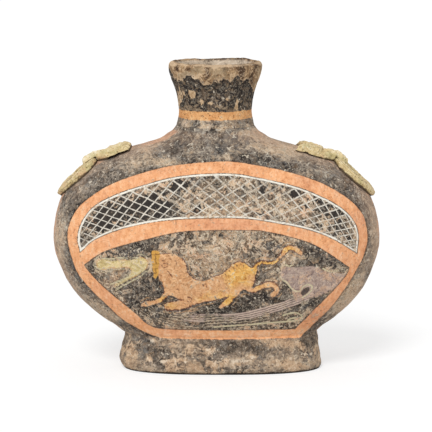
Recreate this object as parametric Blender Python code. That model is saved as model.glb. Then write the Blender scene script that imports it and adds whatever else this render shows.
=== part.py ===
"""Flattened earthenware wine flask, built from the pieces it was made of.

Two press-moulded half shells meet on the plane of the narrow sides. A thrown
neck stands on their collar and a ring foot is luted under them. Each shoulder
carries an animal mask in relief, whose snout hooks over a ring of clay.
Metres, +Z up, front face towards -Y, origin on the table under the middle.
"""

import math

import bmesh
import bpy
from mathutils import Vector

# Whole flask
FLASK_HEIGHT = 0.285
BELLY_HEIGHT = 0.124
BELLY_HALF_WIDTH = 0.1512
BELLY_HALF_DEPTH = 0.066
UNDERSIDE_HEIGHT = 0.015
BODY_WALL = 0.008

# Hand-made lean: the foot sits to the right of the belly, the neck to the left
FOOT_SHIFT = 0.0052
NECK_SHIFT = -0.0011

# Neck
NECK_HEIGHT = 0.059
NECK_SEAM_HEIGHT = FLASK_HEIGHT - NECK_HEIGHT
NECK_SEAM_RADIUS = 0.0359
NECK_WAIST_RADIUS = 0.0336
MOUTH_RADIUS = 0.0428
NECK_WALL = 0.0066
LIP_RISE = 0.0042

# Foot
FOOT_FLARE = 0.0045
FOOT_BASE_WALL = 0.0105
FOOT_EDGE_ROUNDING = 0.0024

# Masks, measured along the ridge of the shoulder, across it and off it
MASK_SETBACK = 0.0476
MASK_PLATE_LENGTH = 0.0335
MASK_HALF_WIDTH = 0.0215
MASK_PLATE_THICKNESS = 0.0036
MASK_RELIEF = 0.0024
SNOUT_HEIGHT = 0.0098
SNOUT_HOOK_LENGTH = 0.0026

# Rings
RING_OUTER_RADIUS = 0.0241
RING_WIDTH = 0.0091
RING_THICKNESS = 0.0050

# Fits
LUTING_GAP = 0.0003
LOOP_STEP = 0.0001

# Counts
HALF_SEGMENTS = 24
RINGS_PER_SPAN = 2
RIDGE_SAMPLES_PER_SPAN = 12
LIP_SEGMENTS = 6
RING_SEGMENTS = 28
MASK_COLUMNS = 14
MASK_PLATE_ROWS = 13
SNOUT_ROWS = 4
SMOOTH_ANGLE = math.radians(40)

# Body outline, neck seam to belly: share of the rise, of the half width and of
# the half depth that the belly has over the seam
SHOULDER_SHARES = (
    (1.0, 0.0, 0.0),
    (0.952, 0.033, 0.03),
    (0.916, 0.081, 0.065),
    (0.879, 0.132, 0.11),
    (0.841, 0.235, 0.165),
    (0.804, 0.350, 0.23),
    (0.767, 0.455, 0.31),
    (0.702, 0.585, 0.43),
    (0.621, 0.705, 0.56),
    (0.515, 0.820, 0.70),
    (0.382, 0.917, 0.83),
    (0.202, 0.976, 0.95),
)
# Belly to the middle of the underside: share of the drop, width and depth
KEEL_SHARES = (
    (0.0, 1.0, 1.0),
    (0.138, 0.991, 0.991),
    (0.277, 0.957, 0.955),
    (0.416, 0.912, 0.910),
    (0.554, 0.838, 0.850),
    (0.694, 0.727, 0.765),
    (0.763, 0.652, 0.710),
    (0.828, 0.591, 0.648),
    (0.888, 0.485, 0.540),
    (0.942, 0.345, 0.385),
    (0.984, 0.175, 0.195),
    (1.0, 0.0, 0.0),
)
# The foot is luted on between these two points of the keel outline
FOOT_SEAT_OUTER_POINT = 7.0
FOOT_SEAT_INNER_POINT = 7.5
# Plan of the body: 2 is an ellipse, more is squarer
BELLY_SQUARENESS_SHARE = 2.3
FOOT_SQUARENESS_SHARE = 2.7
ROUND_SHARE = 2.0

# Neck outline: share of the neck's height, share of the flare from waist to mouth
NECK_SHARES = (
    (0.20, 0.0),
    (0.36, 0.08),
    (0.48, 0.22),
    (0.61, 0.45),
    (0.73, 0.74),
    (0.84, 0.95),
)
# Foot outline: share of the foot's height, share of its flare
FOOT_SHARES = (
    (0.80, 0.02),
    (0.62, 0.16),
    (0.48, 0.50),
    (0.37, 0.88),
    (0.25, 1.0),
    (0.11, 0.94),
)

# Mask outline: share of the plate's length, share of the half width
MASK_SHARES = (
    (0.0, 0.36),
    (0.05, 0.60),
    (0.14, 0.88),
    (0.26, 1.0),
    (0.42, 0.88),
    (0.58, 0.96),
    (0.74, 0.84),
    (0.88, 0.56),
    (1.0, 0.28),
)
SNOUT_TIP_WIDTH_SHARE = 0.20
# Mask relief: share along the plate, share across, radius share, height share
MASK_LUMP_SHARES = (
    (0.16, 0.00, 0.16, 0.80),
    (0.20, 0.70, 0.16, 0.75),
    (0.42, 0.44, 0.20, 0.70),
    (0.60, 0.40, 0.13, 1.00),
    (0.76, 0.58, 0.14, 0.60),
)
SNOUT_RAMP_START_SHARE = 0.50
SNOUT_RIDGE_WIDTH_SHARE = 0.24
PLATE_EDGE_SHARE = 0.55
PLATE_EDGE_POWER_SHARE = 6.0
SNOUT_DROP_SHARE = 0.30
# How far the flat mask and the top of the ring bend with the shoulder
MASK_BEND_SHARE = 0.45
RING_TOP_BEND_SHARE = 0.60
# Ring section: share of the half width, share of the thickness
RING_SECTION_SHARES = (
    (-0.92, 0.0),
    (-1.0, 0.40),
    (-0.68, 0.82),
    (0.0, 1.0),
    (0.68, 0.82),
    (1.0, 0.40),
    (0.92, 0.0),
    (0.0, 0.0),
)

# Finishes: base colour and roughness
SLIP_FINISH = ((0.075, 0.066, 0.058), 0.85)
BARE_CLAY_FINISH = ((0.26, 0.19, 0.125), 0.9)
OCHRE_FINISH = ((0.47, 0.41, 0.20), 0.85)


def clear_scene():
    """Remove every object that the file starts with."""
    for item in list(bpy.data.objects):
        bpy.data.objects.remove(item, do_unlink=True)


def finish_material(name, finish):
    """Make a Principled material from a base colour and a roughness."""
    colour, roughness = finish
    material = bpy.data.materials.new(name)
    material.use_nodes = True
    shader = material.node_tree.nodes["Principled BSDF"]
    shader.inputs["Base Color"].default_value = (*colour, 1.0)
    shader.inputs["Roughness"].default_value = roughness
    shader.inputs["Metallic"].default_value = 0.0
    return material


def add_piece(name, points, faces, finish, origin, parent):
    """Make one named object whose mesh is given in the flask's own frame."""
    mesh = bpy.data.meshes.new(name)
    mesh.from_pydata([Vector(point) - origin for point in points], [], faces)
    shape = bmesh.new()
    shape.from_mesh(mesh)
    bmesh.ops.recalc_face_normals(shape, faces=shape.faces)
    shape.to_mesh(mesh)
    shape.free()
    mesh.shade_smooth()
    mesh.set_sharp_from_angle(angle=SMOOTH_ANGLE)
    mesh.materials.append(finish_material(name, finish))
    piece = bpy.data.objects.new(name, mesh)
    bpy.context.collection.objects.link(piece)
    piece.location = origin
    piece.parent = parent
    return piece


def blend(low, high, share):
    """Return the value a share of the way from low to high."""
    return low + (high - low) * share


def lean(height):
    """Return how far the hand-made flask stands to the right at a height."""
    if height < BELLY_HEIGHT:
        return FOOT_SHIFT * (1.0 - height / BELLY_HEIGHT) ** 2
    rise = (height - BELLY_HEIGHT) / (NECK_SEAM_HEIGHT - BELLY_HEIGHT)
    return NECK_SHIFT * min(rise, 1.0)


def leaned(point):
    """Shift a point of the upright flask by the lean at its height."""
    return Vector((point[0] + lean(point[2]), point[1], point[2]))


def body_outline():
    """Return half width, half depth, height and squareness from seam to underside."""
    rise = NECK_SEAM_HEIGHT - BELLY_HEIGHT
    drop = BELLY_HEIGHT - UNDERSIDE_HEIGHT
    shoulder = [
        (
            blend(NECK_SEAM_RADIUS, BELLY_HALF_WIDTH, width),
            blend(NECK_SEAM_RADIUS, BELLY_HALF_DEPTH, depth),
            BELLY_HEIGHT + rise * up,
            blend(ROUND_SHARE, BELLY_SQUARENESS_SHARE, width),
        )
        for up, width, depth in SHOULDER_SHARES
    ]
    keel = [
        (
            BELLY_HALF_WIDTH * width,
            BELLY_HALF_DEPTH * depth,
            BELLY_HEIGHT - drop * down,
            BELLY_SQUARENESS_SHARE,
        )
        for down, width, depth in KEEL_SHARES
    ]
    return shoulder + keel


def outline_point(outline, place):
    """Return the smooth curve through an outline at a place counted in its points."""
    last = len(outline) - 1
    span = min(int(place), last - 1)
    t = place - span
    before = outline[span - 1] if span else outline[0]
    after = outline[span + 2] if span + 2 <= last else outline[last]
    return tuple(
        0.5 * (2 * b + (c - a) * t + (2 * a - 5 * b + 4 * c - d) * t**2 + (3 * b - a - 3 * c + d) * t**3)
        for a, b, c, d in zip(before, outline[span], outline[span + 1], after)
    )


def plan_point(section, angle):
    """Return the point at an angle of the body's plan at one height."""
    half_width, half_depth, height, squareness = section
    along = math.cos(angle)
    across = math.sin(angle)
    power = 2.0 / squareness
    x = half_width * math.copysign(abs(along) ** power, along)
    y = half_depth * math.copysign(abs(across) ** power, across)
    return Vector((x, y, height))


def plan_ring(section):
    """Return one whole ring of points, its first and middle ones on the seam plane."""
    ring = [plan_point(section, math.pi * step / HALF_SEGMENTS) for step in range(2 * HALF_SEGMENTS)]
    for seam in (0, HALF_SEGMENTS):
        ring[seam].y = 0.0
    return ring


def body_rings():
    """Return the outer rings of the body, from the neck seam down to the last open one."""
    outline = body_outline()
    count = (len(outline) - 1) * RINGS_PER_SPAN
    return [plan_ring(outline_point(outline, step / RINGS_PER_SPAN)) for step in range(count)]


def inner_rings(rings, bottom):
    """Return the rings one wall inside the given ones, square to the surface."""
    result = []
    for row, ring in enumerate(rings):
        above = rings[max(row - 1, 0)]
        below = rings[row + 1] if row + 1 < len(rings) else [bottom] * len(ring)
        inner = []
        for column, point in enumerate(ring):
            down = below[column] - above[column]
            around = ring[(column + 1) % len(ring)] - ring[column - 1]
            inner.append(point - down.cross(around).normalized() * BODY_WALL)
        for seam in (0, HALF_SEGMENTS):
            inner[seam].y = 0.0
        result.append(inner)
    for point in result[0]:
        point.z = NECK_SEAM_HEIGHT
    return result


def strip_faces(first, second):
    """Return the quads between two rows of point numbers."""
    return [(first[k], first[k + 1], second[k + 1], second[k]) for k in range(len(first) - 1)]


def make_shell(name, columns, parent):
    """Make one moulded half of the body from its columns of the rings."""
    outer = body_rings()
    outer_bottom = Vector((0, 0, UNDERSIDE_HEIGHT))
    inner = inner_rings(outer, outer_bottom)
    inner_bottom = Vector((0, 0, UNDERSIDE_HEIGHT + BODY_WALL))
    points = []
    rows = []
    for ring in outer + inner:
        rows.append([len(points) + k for k in range(len(columns))])
        points.extend(ring[column] for column in columns)
    outer_rows = rows[: len(outer)]
    inner_rows = rows[len(outer) :]
    poles = (len(points), len(points) + 1)
    points.extend((outer_bottom, inner_bottom))
    faces = []
    for side, pole in zip((outer_rows, inner_rows), poles):
        for upper, lower in zip(side, side[1:]):
            faces.extend(strip_faces(upper, lower))
        faces.extend((side[-1][k], side[-1][k + 1], pole) for k in range(len(columns) - 1))
    faces.extend(strip_faces(outer_rows[0], inner_rows[0]))
    for edge in (0, -1):
        outer_edge = [row[edge] for row in outer_rows] + [poles[0]]
        inner_edge = [row[edge] for row in inner_rows] + [poles[1]]
        faces.extend(strip_faces(outer_edge, inner_edge))
    return add_piece(name, map(leaned, points), faces, SLIP_FINISH, Vector((0, 0, 0)), parent)


def ring_loft(rings):
    """Return points and faces of a closed lip-to-lip loft through whole rings."""
    size = len(rings[0])
    points = [point for ring in rings for point in ring]
    rows = [[row * size + k % size for k in range(size + 1)] for row in range(len(rings))]
    faces = []
    for row, first in enumerate(rows):
        faces.extend(strip_faces(first, rows[(row + 1) % len(rows)]))
    return points, faces


def make_neck(parent):
    """Make the thrown neck, from its seam up over the rounded lip and down the bore."""
    outside = [
        (blend(NECK_WAIST_RADIUS, MOUTH_RADIUS, flare), NECK_SEAM_HEIGHT + NECK_HEIGHT * up)
        for up, flare in NECK_SHARES
    ]
    half_lip = NECK_WALL / 2
    lip = []
    for step in range(LIP_SEGMENTS + 1):
        turn = math.pi * step / LIP_SEGMENTS
        radius = MOUTH_RADIUS - half_lip + half_lip * math.cos(turn)
        lip.append((radius, FLASK_HEIGHT - LIP_RISE + LIP_RISE * math.sin(turn)))
    inside = [(radius - NECK_WALL, level) for radius, level in reversed(outside)]
    profile = [(NECK_SEAM_RADIUS, NECK_SEAM_HEIGHT), *outside, *lip, *inside]
    profile.append((NECK_SEAM_RADIUS - BODY_WALL, NECK_SEAM_HEIGHT))
    rings = [plan_ring((radius, radius, level, ROUND_SHARE)) for radius, level in profile]
    points, faces = ring_loft(rings)
    origin = leaned((0, 0, NECK_SEAM_HEIGHT))
    return add_piece("neck", map(leaned, points), faces, SLIP_FINISH, origin, parent)


def make_foot(parent):
    """Make the ring foot, its top following the underside of the body."""
    outline = body_outline()
    belly = len(SHOULDER_SHARES)
    seat = outline_point(outline, belly + FOOT_SEAT_OUTER_POINT)
    seat_inside = outline_point(outline, belly + FOOT_SEAT_INNER_POINT)
    half_width, half_depth, seat_height, squareness = seat

    def level_ring(grow, height):
        square = blend(FOOT_SQUARENESS_SHARE, squareness, height / seat_height)
        return plan_ring((half_width + grow, half_depth + grow, height, square))

    rings = [level_ring(FOOT_FLARE * flare, seat_height * up) for up, flare in FOOT_SHARES]
    rings.append(level_ring(FOOT_FLARE - FOOT_EDGE_ROUNDING, 0.0))
    rings.append(level_ring(FOOT_FLARE - FOOT_BASE_WALL, 0.0))
    gap = Vector((0, 0, LUTING_GAP))
    for section in (seat_inside, seat):
        rings.append([point - gap for point in plan_ring(section)])
    points, faces = ring_loft(rings)
    return add_piece("foot", map(leaned, points), faces, BARE_CLAY_FINISH, leaned((0, 0, 0)), parent)


def ridge_walk():
    """Return distances from the neck seam along the shoulder's ridge, with the sections there."""
    outline = body_outline()
    count = len(SHOULDER_SHARES) * RIDGE_SAMPLES_PER_SPAN
    sections = [outline_point(outline, step / RIDGE_SAMPLES_PER_SPAN) for step in range(count + 1)]
    walk = [(0.0, sections[0])]
    for before, section in zip(sections, sections[1:]):
        step = math.hypot(section[0] - before[0], section[2] - before[2])
        walk.append((walk[-1][0] + step, section))
    return walk


def shoulder_point(walk, distance, across, lift, bend_share):
    """Return a point over the right shoulder.

    distance runs down the ridge from the neck seam and across is the depth.
    lift is square to the ridge, and bend_share says how much of the
    shoulder's fall to the front and back the point follows.
    """
    index = next(k for k in range(1, len(walk)) if walk[k][0] >= distance or k == len(walk) - 1)
    start, upper = walk[index - 1]
    end, lower = walk[index]
    share = (distance - start) / (end - start)
    half_width, half_depth, height, squareness = (blend(a, b, share) for a, b in zip(upper, lower))
    reach = min(abs(across) / half_depth, 1.0)
    surface = half_width * (1.0 - reach**squareness) ** (1.0 / squareness)
    x = blend(half_width, surface, bend_share)
    length = end - start
    normal_x = (upper[2] - lower[2]) / length
    normal_z = (lower[0] - upper[0]) / length
    return Vector((x + normal_x * lift, across, height + normal_z * lift))


def to_side(point, side):
    """Mirror a point of the right shoulder to the wanted side and lean it."""
    return leaned((point.x * side, point.y, point.z))


def share_between(table, place):
    """Return the value at a place in a table of place and value, in straight steps."""
    for (start, low), (end, high) in zip(table, table[1:]):
        if place <= end:
            return blend(low, high, (place - start) / (end - start))
    return table[-1][1]


def mask_rows():
    """Return each row's distance from the mask's top end and the height of its underside.

    Under the snout the underside arches over the ring's clay.
    """
    arch_start = MASK_PLATE_LENGTH
    arch_end = arch_start + 2 * LUTING_GAP + RING_WIDTH + ring_sag()
    arch_height = LUTING_GAP + RING_THICKNESS + LUTING_GAP
    rows = [(arch_start * k / MASK_PLATE_ROWS, LUTING_GAP) for k in range(MASK_PLATE_ROWS + 1)]
    for step in range(SNOUT_ROWS + 1):
        rows.append((blend(arch_start + LOOP_STEP, arch_end, step / SNOUT_ROWS), arch_height))
    for step in range(SNOUT_ROWS + 1):
        hook = LOOP_STEP + SNOUT_HOOK_LENGTH * step / SNOUT_ROWS
        rows.append((arch_end + hook, LUTING_GAP))
    return rows


def ring_sag():
    """Return how far the ring's inner edge runs from its crown within the snout's width."""
    inner_radius = RING_OUTER_RADIUS - RING_WIDTH
    half_snout = MASK_HALF_WIDTH * MASK_SHARES[-1][1]
    return inner_radius - math.sqrt(inner_radius**2 - half_snout**2)


def mask_half_width(distance, tip):
    """Return the mask's half width at a distance from its top end."""
    if distance <= MASK_PLATE_LENGTH:
        return MASK_HALF_WIDTH * share_between(MASK_SHARES, distance / MASK_PLATE_LENGTH)
    share = (distance - MASK_PLATE_LENGTH) / (tip - MASK_PLATE_LENGTH)
    return MASK_HALF_WIDTH * blend(MASK_SHARES[-1][1], SNOUT_TIP_WIDTH_SHARE, share)


def mask_top(distance, across, tip):
    """Return the height of the mask's relief over the ridge.

    across is a share of the half width there. Lumps stand for the crest,
    the horns, the brows, the eyes and the cheeks, and a ridge climbs to the snout.
    """
    along = distance / MASK_PLATE_LENGTH
    place = across * mask_half_width(distance, tip) / MASK_HALF_WIDTH
    relief = 0.0
    for lump_along, lump_across, radius, height in MASK_LUMP_SHARES:
        spread = ((along - lump_along) ** 2 + (abs(place) - lump_across) ** 2) / radius**2
        relief += MASK_RELIEF * height * math.exp(-spread)
    edge = blend(1.0, PLATE_EDGE_SHARE, abs(across) ** PLATE_EDGE_POWER_SHARE)
    plate = (MASK_PLATE_THICKNESS + relief) * edge
    climb = min(max((along - SNOUT_RAMP_START_SHARE) / (1.0 - SNOUT_RAMP_START_SHARE), 0.0), 1.0)
    ridge = math.exp(-((place / SNOUT_RIDGE_WIDTH_SHARE) ** 2)) * climb
    fall = max(distance - MASK_PLATE_LENGTH, 0.0) / (tip - MASK_PLATE_LENGTH)
    crown = SNOUT_HEIGHT * blend(1.0, SNOUT_DROP_SHARE, fall**2 * across**2 + (1 - across**2) * fall**4)
    return max(plate, blend(plate, crown, ridge))


def make_mask(name, side, parent):
    """Make the animal mask of one shoulder: side is 1 on the right and -1 on the left."""
    walk = ridge_walk()
    rows = mask_rows()
    tip = rows[-1][0]
    columns = [math.sin(math.pi / 2 * (2 * k / MASK_COLUMNS - 1)) for k in range(MASK_COLUMNS + 1)]
    tops = []
    undersides = []
    for distance, underside in rows:
        half_width = mask_half_width(distance, tip)
        down = MASK_SETBACK + distance
        for across in columns:
            place = across * half_width
            top = max(mask_top(distance, across, tip), underside + LUTING_GAP)
            tops.append(shoulder_point(walk, down, place, top, MASK_BEND_SHARE))
            undersides.append(shoulder_point(walk, down, place, underside, MASK_BEND_SHARE))
    width = len(columns)
    count = len(tops)
    faces = []
    for row in range(len(rows) - 1):
        for start in (0, count):
            first = [start + row * width + k for k in range(width)]
            faces.extend(strip_faces(first, [number + width for number in first]))
    border = list(range(width))
    border += [row * width + width - 1 for row in range(1, len(rows))]
    border += list(range(count - 2, count - width - 1, -1))
    border += [row * width for row in range(len(rows) - 2, -1, -1)]
    faces.extend(strip_faces(border, [number + count for number in border]))
    points = [to_side(point, side) for point in tops + undersides]
    origin = to_side(shoulder_point(walk, MASK_SETBACK, 0.0, 0.0, 0.0), side)
    return add_piece(name, points, faces, OCHRE_FINISH, origin, parent)


def make_ring(name, side, parent):
    """Make the clay ring that lies on one shoulder under the mask's snout."""
    walk = ridge_walk()
    crown = MASK_SETBACK + MASK_PLATE_LENGTH + LUTING_GAP
    middle_radius = RING_OUTER_RADIUS - RING_WIDTH / 2
    rings = []
    for step in range(RING_SEGMENTS):
        turn = 2 * math.pi * step / RING_SEGMENTS
        section = []
        for out, up in RING_SECTION_SHARES:
            radius = middle_radius + RING_WIDTH / 2 * out
            distance = crown + RING_OUTER_RADIUS - radius * math.cos(turn)
            lift = LUTING_GAP + RING_THICKNESS * up
            bend_share = blend(1.0, RING_TOP_BEND_SHARE, up)
            across = radius * math.sin(turn)
            section.append(to_side(shoulder_point(walk, distance, across, lift, bend_share), side))
        rings.append(section)
    points, faces = ring_loft(rings)
    origin = to_side(shoulder_point(walk, crown, 0.0, 0.0, 0.0), side)
    return add_piece(name, points, faces, OCHRE_FINISH, origin, parent)


def main():
    """Build the flask."""
    clear_scene()
    flask = bpy.data.objects.new("flask", None)
    bpy.context.collection.objects.link(flask)
    back_columns = list(range(HALF_SEGMENTS + 1))
    front_columns = [(HALF_SEGMENTS + k) % (2 * HALF_SEGMENTS) for k in back_columns]
    make_shell("front_shell", front_columns, flask)
    make_shell("back_shell", back_columns, flask)
    make_neck(flask)
    make_foot(flask)
    for label, side in (("left", -1), ("right", 1)):
        make_mask(f"{label}_mask", side, flask)
        make_ring(f"{label}_ring", side, flask)


main()
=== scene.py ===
"""Looks of a flattened earthenware wine flask with a painted panel.

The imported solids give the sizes. Every piece is modelled again as a fine
surface with the marks of the hand on it, and painted with procedural slip,
earth, ochre and lines. The drawing on the broad faces is laid out in the
pixels of a 432 x 432 picture and thrown on the clay along the camera's rays.
"""

import logging
import math
from dataclasses import dataclass, field
from enum import Enum
from functools import cached_property
from typing import Any, Iterable, Mapping, Optional, Sequence, Union

import bmesh
import bpy
import numpy as np
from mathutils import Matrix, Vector, noise


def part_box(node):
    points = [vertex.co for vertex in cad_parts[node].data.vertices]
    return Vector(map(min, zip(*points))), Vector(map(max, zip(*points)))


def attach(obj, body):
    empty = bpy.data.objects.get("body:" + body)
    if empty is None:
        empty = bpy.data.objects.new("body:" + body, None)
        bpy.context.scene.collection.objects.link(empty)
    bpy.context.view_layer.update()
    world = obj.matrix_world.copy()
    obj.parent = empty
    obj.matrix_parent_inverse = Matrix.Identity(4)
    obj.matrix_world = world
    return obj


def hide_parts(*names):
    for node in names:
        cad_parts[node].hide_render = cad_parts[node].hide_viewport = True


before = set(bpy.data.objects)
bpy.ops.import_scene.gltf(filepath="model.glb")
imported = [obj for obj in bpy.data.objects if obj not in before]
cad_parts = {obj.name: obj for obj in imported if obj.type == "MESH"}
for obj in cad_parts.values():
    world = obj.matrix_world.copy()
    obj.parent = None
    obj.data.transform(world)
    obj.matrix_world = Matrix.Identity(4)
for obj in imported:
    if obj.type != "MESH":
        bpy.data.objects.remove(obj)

LOG = logging.getLogger("wine_flask")
BODY = "root"

Points = np.ndarray
Triple = tuple[float, float, float]
Outline = Sequence[tuple[float, float]]


class Slot(Enum):
    """Finish slots of the record."""

    PAINTED = "painted_slip"
    CLAY = "earthy_clay"
    OCHRE = "ochre_relief"


class Face(Enum):
    """The two broad faces of the flask. The value is the sign of Y."""

    FRONT = -1
    BACK = 1


class Side(Enum):
    """The two shoulders. The value is the sign of X."""

    LEFT = -1
    RIGHT = 1


# Curves, distances and meshes


def smooth_curve(points: Sequence[Sequence[float]], places: Points, closed: bool = False) -> Points:
    """Read the smooth curve through points.

    Args:
        points: the points that the curve runs through.
        places: where to read it, counted in points.
        closed: whether the last point joins the first.

    Returns:
        One row for each place.
    """
    knots = np.asarray(points, float)
    count = len(knots)
    spans = count if closed else count - 1
    span = np.clip(np.floor(places).astype(int), 0, spans - 1)
    t = (places - span)[:, None]
    picked = []
    for offset in (-1, 0, 1, 2):
        index = span + offset
        picked.append(knots[index % count if closed else np.clip(index, 0, count - 1)])
    a, b, c, d = picked
    return 0.5 * (2 * b + (c - a) * t + (2 * a - 5 * b + 4 * c - d) * t**2 + (3 * b - a - 3 * c + d) * t**3)


def refined(points: Outline, closed: bool = False, steps: int = 5) -> Points:
    """Return a polyline with steps places in each span of the smooth curve through points."""
    spans = len(points) if closed else len(points) - 1
    return smooth_curve(points, np.arange(0, spans * steps + (0 if closed else 1)) / steps, closed)


def distance_inside(spots: Points, outline: Points) -> Points:
    """Measure how deep spots lie inside a closed outline.

    Args:
        spots: places, one row each.
        outline: the corners of the outline, one row each.

    Returns:
        The distance to the outline, above zero inside it and below zero outside.
    """
    nearest = np.full(len(spots), np.inf)
    inside = np.zeros(len(spots), bool)
    x, y = spots[:, 0], spots[:, 1]
    for start, end in zip(outline, np.roll(outline, -1, 0)):
        nearest = np.minimum(nearest, squared_distance(spots, start, end))
        if start[1] != end[1]:
            crosses = (start[1] > y) != (end[1] > y)
            inside ^= crosses & (x < start[0] + (y - start[1]) * (end[0] - start[0]) / (end[1] - start[1]))
    return np.where(inside, 1.0, -1.0) * np.sqrt(nearest)


def distance_to_line(spots: Points, line: Points) -> Points:
    """Return the distance from spots to a polyline.

    Args:
        spots: places, one row each.
        line: the corners of the polyline, one row each.

    Returns:
        The distance of each spot.
    """
    nearest = np.full(len(spots), np.inf)
    for start, end in zip(line, line[1:]):
        nearest = np.minimum(nearest, squared_distance(spots, start, end))
    return np.sqrt(nearest)


def squared_distance(spots: Points, start: Points, end: Points) -> Points:
    """Return the squared distance from spots to a segment.

    Args:
        spots: places, one row each.
        start: where the segment starts.
        end: where it ends.

    Returns:
        The squared distance of each spot.
    """
    along = end - start
    length = max(float(along @ along), 1e-12)
    reach = spots - start
    share = np.clip(reach @ along / length, 0.0, 1.0)
    off = reach - share[:, None] * along
    return (off * off).sum(1)


def smooth_step(low: float, high: float, value: Points) -> Points:
    """Return 0 below low, 1 above high and a smooth rise between them."""
    share = np.clip((value - low) / (high - low), 0.0, 1.0)
    return share * share * (3.0 - 2.0 * share)


def blend(low: Any, high: Any, share: Any) -> Any:
    """Return the value a share of the way from low to high."""
    return low + (high - low) * share


def rough_noise(points: Points, size: float, seed: float = 0.0) -> Points:
    """Return smooth noise between about -1 and 1.

    Args:
        points: where to read it.
        size: about how wide its lumps are.
        seed: shifts the pattern.

    Returns:
        One number for each point.
    """
    shift = Vector((seed, seed * 1.7, seed * 2.3))
    flat = points.reshape(-1, 3)
    values = [noise.noise(Vector(point) / size + shift) for point in flat]
    return np.array(values).reshape(points.shape[:-1])


def grid_normals(grid: Points) -> Points:
    """Return the unit normals of a grid of points.

    Args:
        grid: rows and columns of points.

    Returns:
        The normals, along the rows' direction cross the columns'.
    """
    down = np.gradient(grid, axis=0)
    around = np.gradient(grid, axis=1)
    normals = np.cross(down, around)
    length = np.linalg.norm(normals, axis=2, keepdims=True)
    return normals / np.maximum(length, 1e-12)


def wrapped_normals(grid: Points) -> Points:
    """Return the unit normals of a grid whose last column joins its first."""
    wide = np.concatenate([grid[:, -2:], grid, grid[:, :2]], axis=1)
    return grid_normals(wide)[:, 2:-2]


def grid_quads(rows: int, columns: int, start: int = 0, round_rows: bool = False) -> list[list[int]]:
    """Return the quads of a grid of points counted row by row.

    Args:
        rows: number of rows.
        columns: number of points in a row.
        start: number of the first point.
        round_rows: whether the last column joins the first, and the last row the first row.

    Returns:
        The faces as lists of point numbers.
    """
    numbers = start + np.arange(rows * columns).reshape(rows, columns)
    if round_rows:
        numbers = np.pad(numbers, (0, 1), "wrap")
    quads = [numbers[:-1, :-1], numbers[:-1, 1:], numbers[1:, 1:], numbers[1:, :-1]]
    return np.stack(quads, axis=-1).reshape(-1, 4).tolist()


@dataclass
class Surface:
    """Points, faces and painted values of one piece while it is made."""

    points: Points
    faces: list[list[int]]
    values: dict[str, Points] = field(default_factory=dict)
    sharp_angle: float = math.pi

    def to_mesh(self, name: str) -> bpy.types.Mesh:
        """Make the mesh, with all faces outward and the painted values on its points.

        Args:
            name: the mesh's name.

        Returns:
            The mesh.
        """
        mesh = bpy.data.meshes.new(name)
        mesh.from_pydata(self.points.tolist(), [], self.faces)
        outward = bmesh.new()
        outward.from_mesh(mesh)
        bmesh.ops.recalc_face_normals(outward, faces=outward.faces)
        outward.to_mesh(mesh)
        outward.free()
        mesh.shade_smooth()
        mesh.set_sharp_from_angle(angle=self.sharp_angle)
        for key, numbers in self.values.items():
            layer = mesh.attributes.new(key, "FLOAT", "POINT")
            layer.data.foreach_set("value", np.asarray(numbers, np.float32))
        return mesh

    def to_piece(self, name: str, material: bpy.types.Material, slot: Slot, *nodes: str) -> bpy.types.Object:
        """Make the object, let it ride on the body and stand for its solids.

        Args:
            name: the piece's name.
            material: its finish.
            slot: the record's slot of that finish; not used.
            nodes: the solids that it stands for.

        Returns:
            The object.
        """
        mesh = self.to_mesh(name)
        mesh.materials.append(material)
        piece = bpy.data.objects.new(name, mesh)
        bpy.context.scene.collection.objects.link(piece)
        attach(piece, BODY)
        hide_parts(*nodes)
        LOG.info("%s: %d points, %d faces", name, len(mesh.vertices), len(mesh.polygons))
        return piece


# The camera and the picture that the drawing is laid out in


@dataclass(frozen=True)
class PictureCamera:
    """The viewpoint: where it stands, how far it looks down and its focal length in pixels."""

    place: Triple = (-0.00045, -2.2, 0.461)
    pitch: float = 0.1445
    focal_pixels: float = 2395.0
    frame_pixels: float = 432.0
    sensor_mm: float = 36.0
    clip_end: float = 60.0

    def set_up(self) -> None:
        """Make the camera and look through it."""
        data = bpy.data.cameras.new("camera")
        data.sensor_width = self.sensor_mm
        data.lens = self.sensor_mm * self.focal_pixels / self.frame_pixels
        data.clip_end = self.clip_end
        camera = bpy.data.objects.new("camera", data)
        camera.location = self.place
        camera.rotation_euler = (math.pi / 2 - self.pitch, 0.0, 0.0)
        bpy.context.scene.collection.objects.link(camera)
        bpy.context.scene.camera = camera

    def pixels(self, points: Points) -> Points:
        """Return where points show in the picture.

        Args:
            points: places in space, in metres.

        Returns:
            Pixels across and down from the top left corner, one row each.
        """
        reach = points.reshape(-1, 3) - np.array(self.place)
        sine, cosine = math.sin(self.pitch), math.cos(self.pitch)
        depth = reach[:, 1] * cosine - reach[:, 2] * sine
        up = reach[:, 1] * sine + reach[:, 2] * cosine
        centre = self.frame_pixels / 2
        across = centre + self.focal_pixels * reach[:, 0] / depth
        down = centre - self.focal_pixels * up / depth
        return np.stack([across, down], axis=1)


@dataclass(frozen=True)
class Patch:
    """A soft oval, in pixels or in shares of a mask: its middle, its half sizes and its strength."""

    across: float
    down: float
    half_width: float
    half_height: float
    strength: float

    def at(self, across: Points, down: Points) -> Points:
        """Return the patch's strength at places.

        Args:
            across: the places from left to right.
            down: the places from top to bottom.

        Returns:
            The strength at each place.
        """
        x = (across - self.across) / self.half_width
        y = (down - self.down) / self.half_height
        return self.strength * np.exp(-(x * x + y * y))


def patches(*rows: tuple[float, float, float, float, float]) -> tuple[Patch, ...]:
    """Return the patches whose values are the rows."""
    return tuple(Patch(*row) for row in rows)


def patch_sum(group: Iterable[Patch], across: Points, down: Points) -> Points:
    """Return the summed strength of patches at places."""
    return sum((patch.at(across, down) for patch in group), np.zeros(across.shape))


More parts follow.
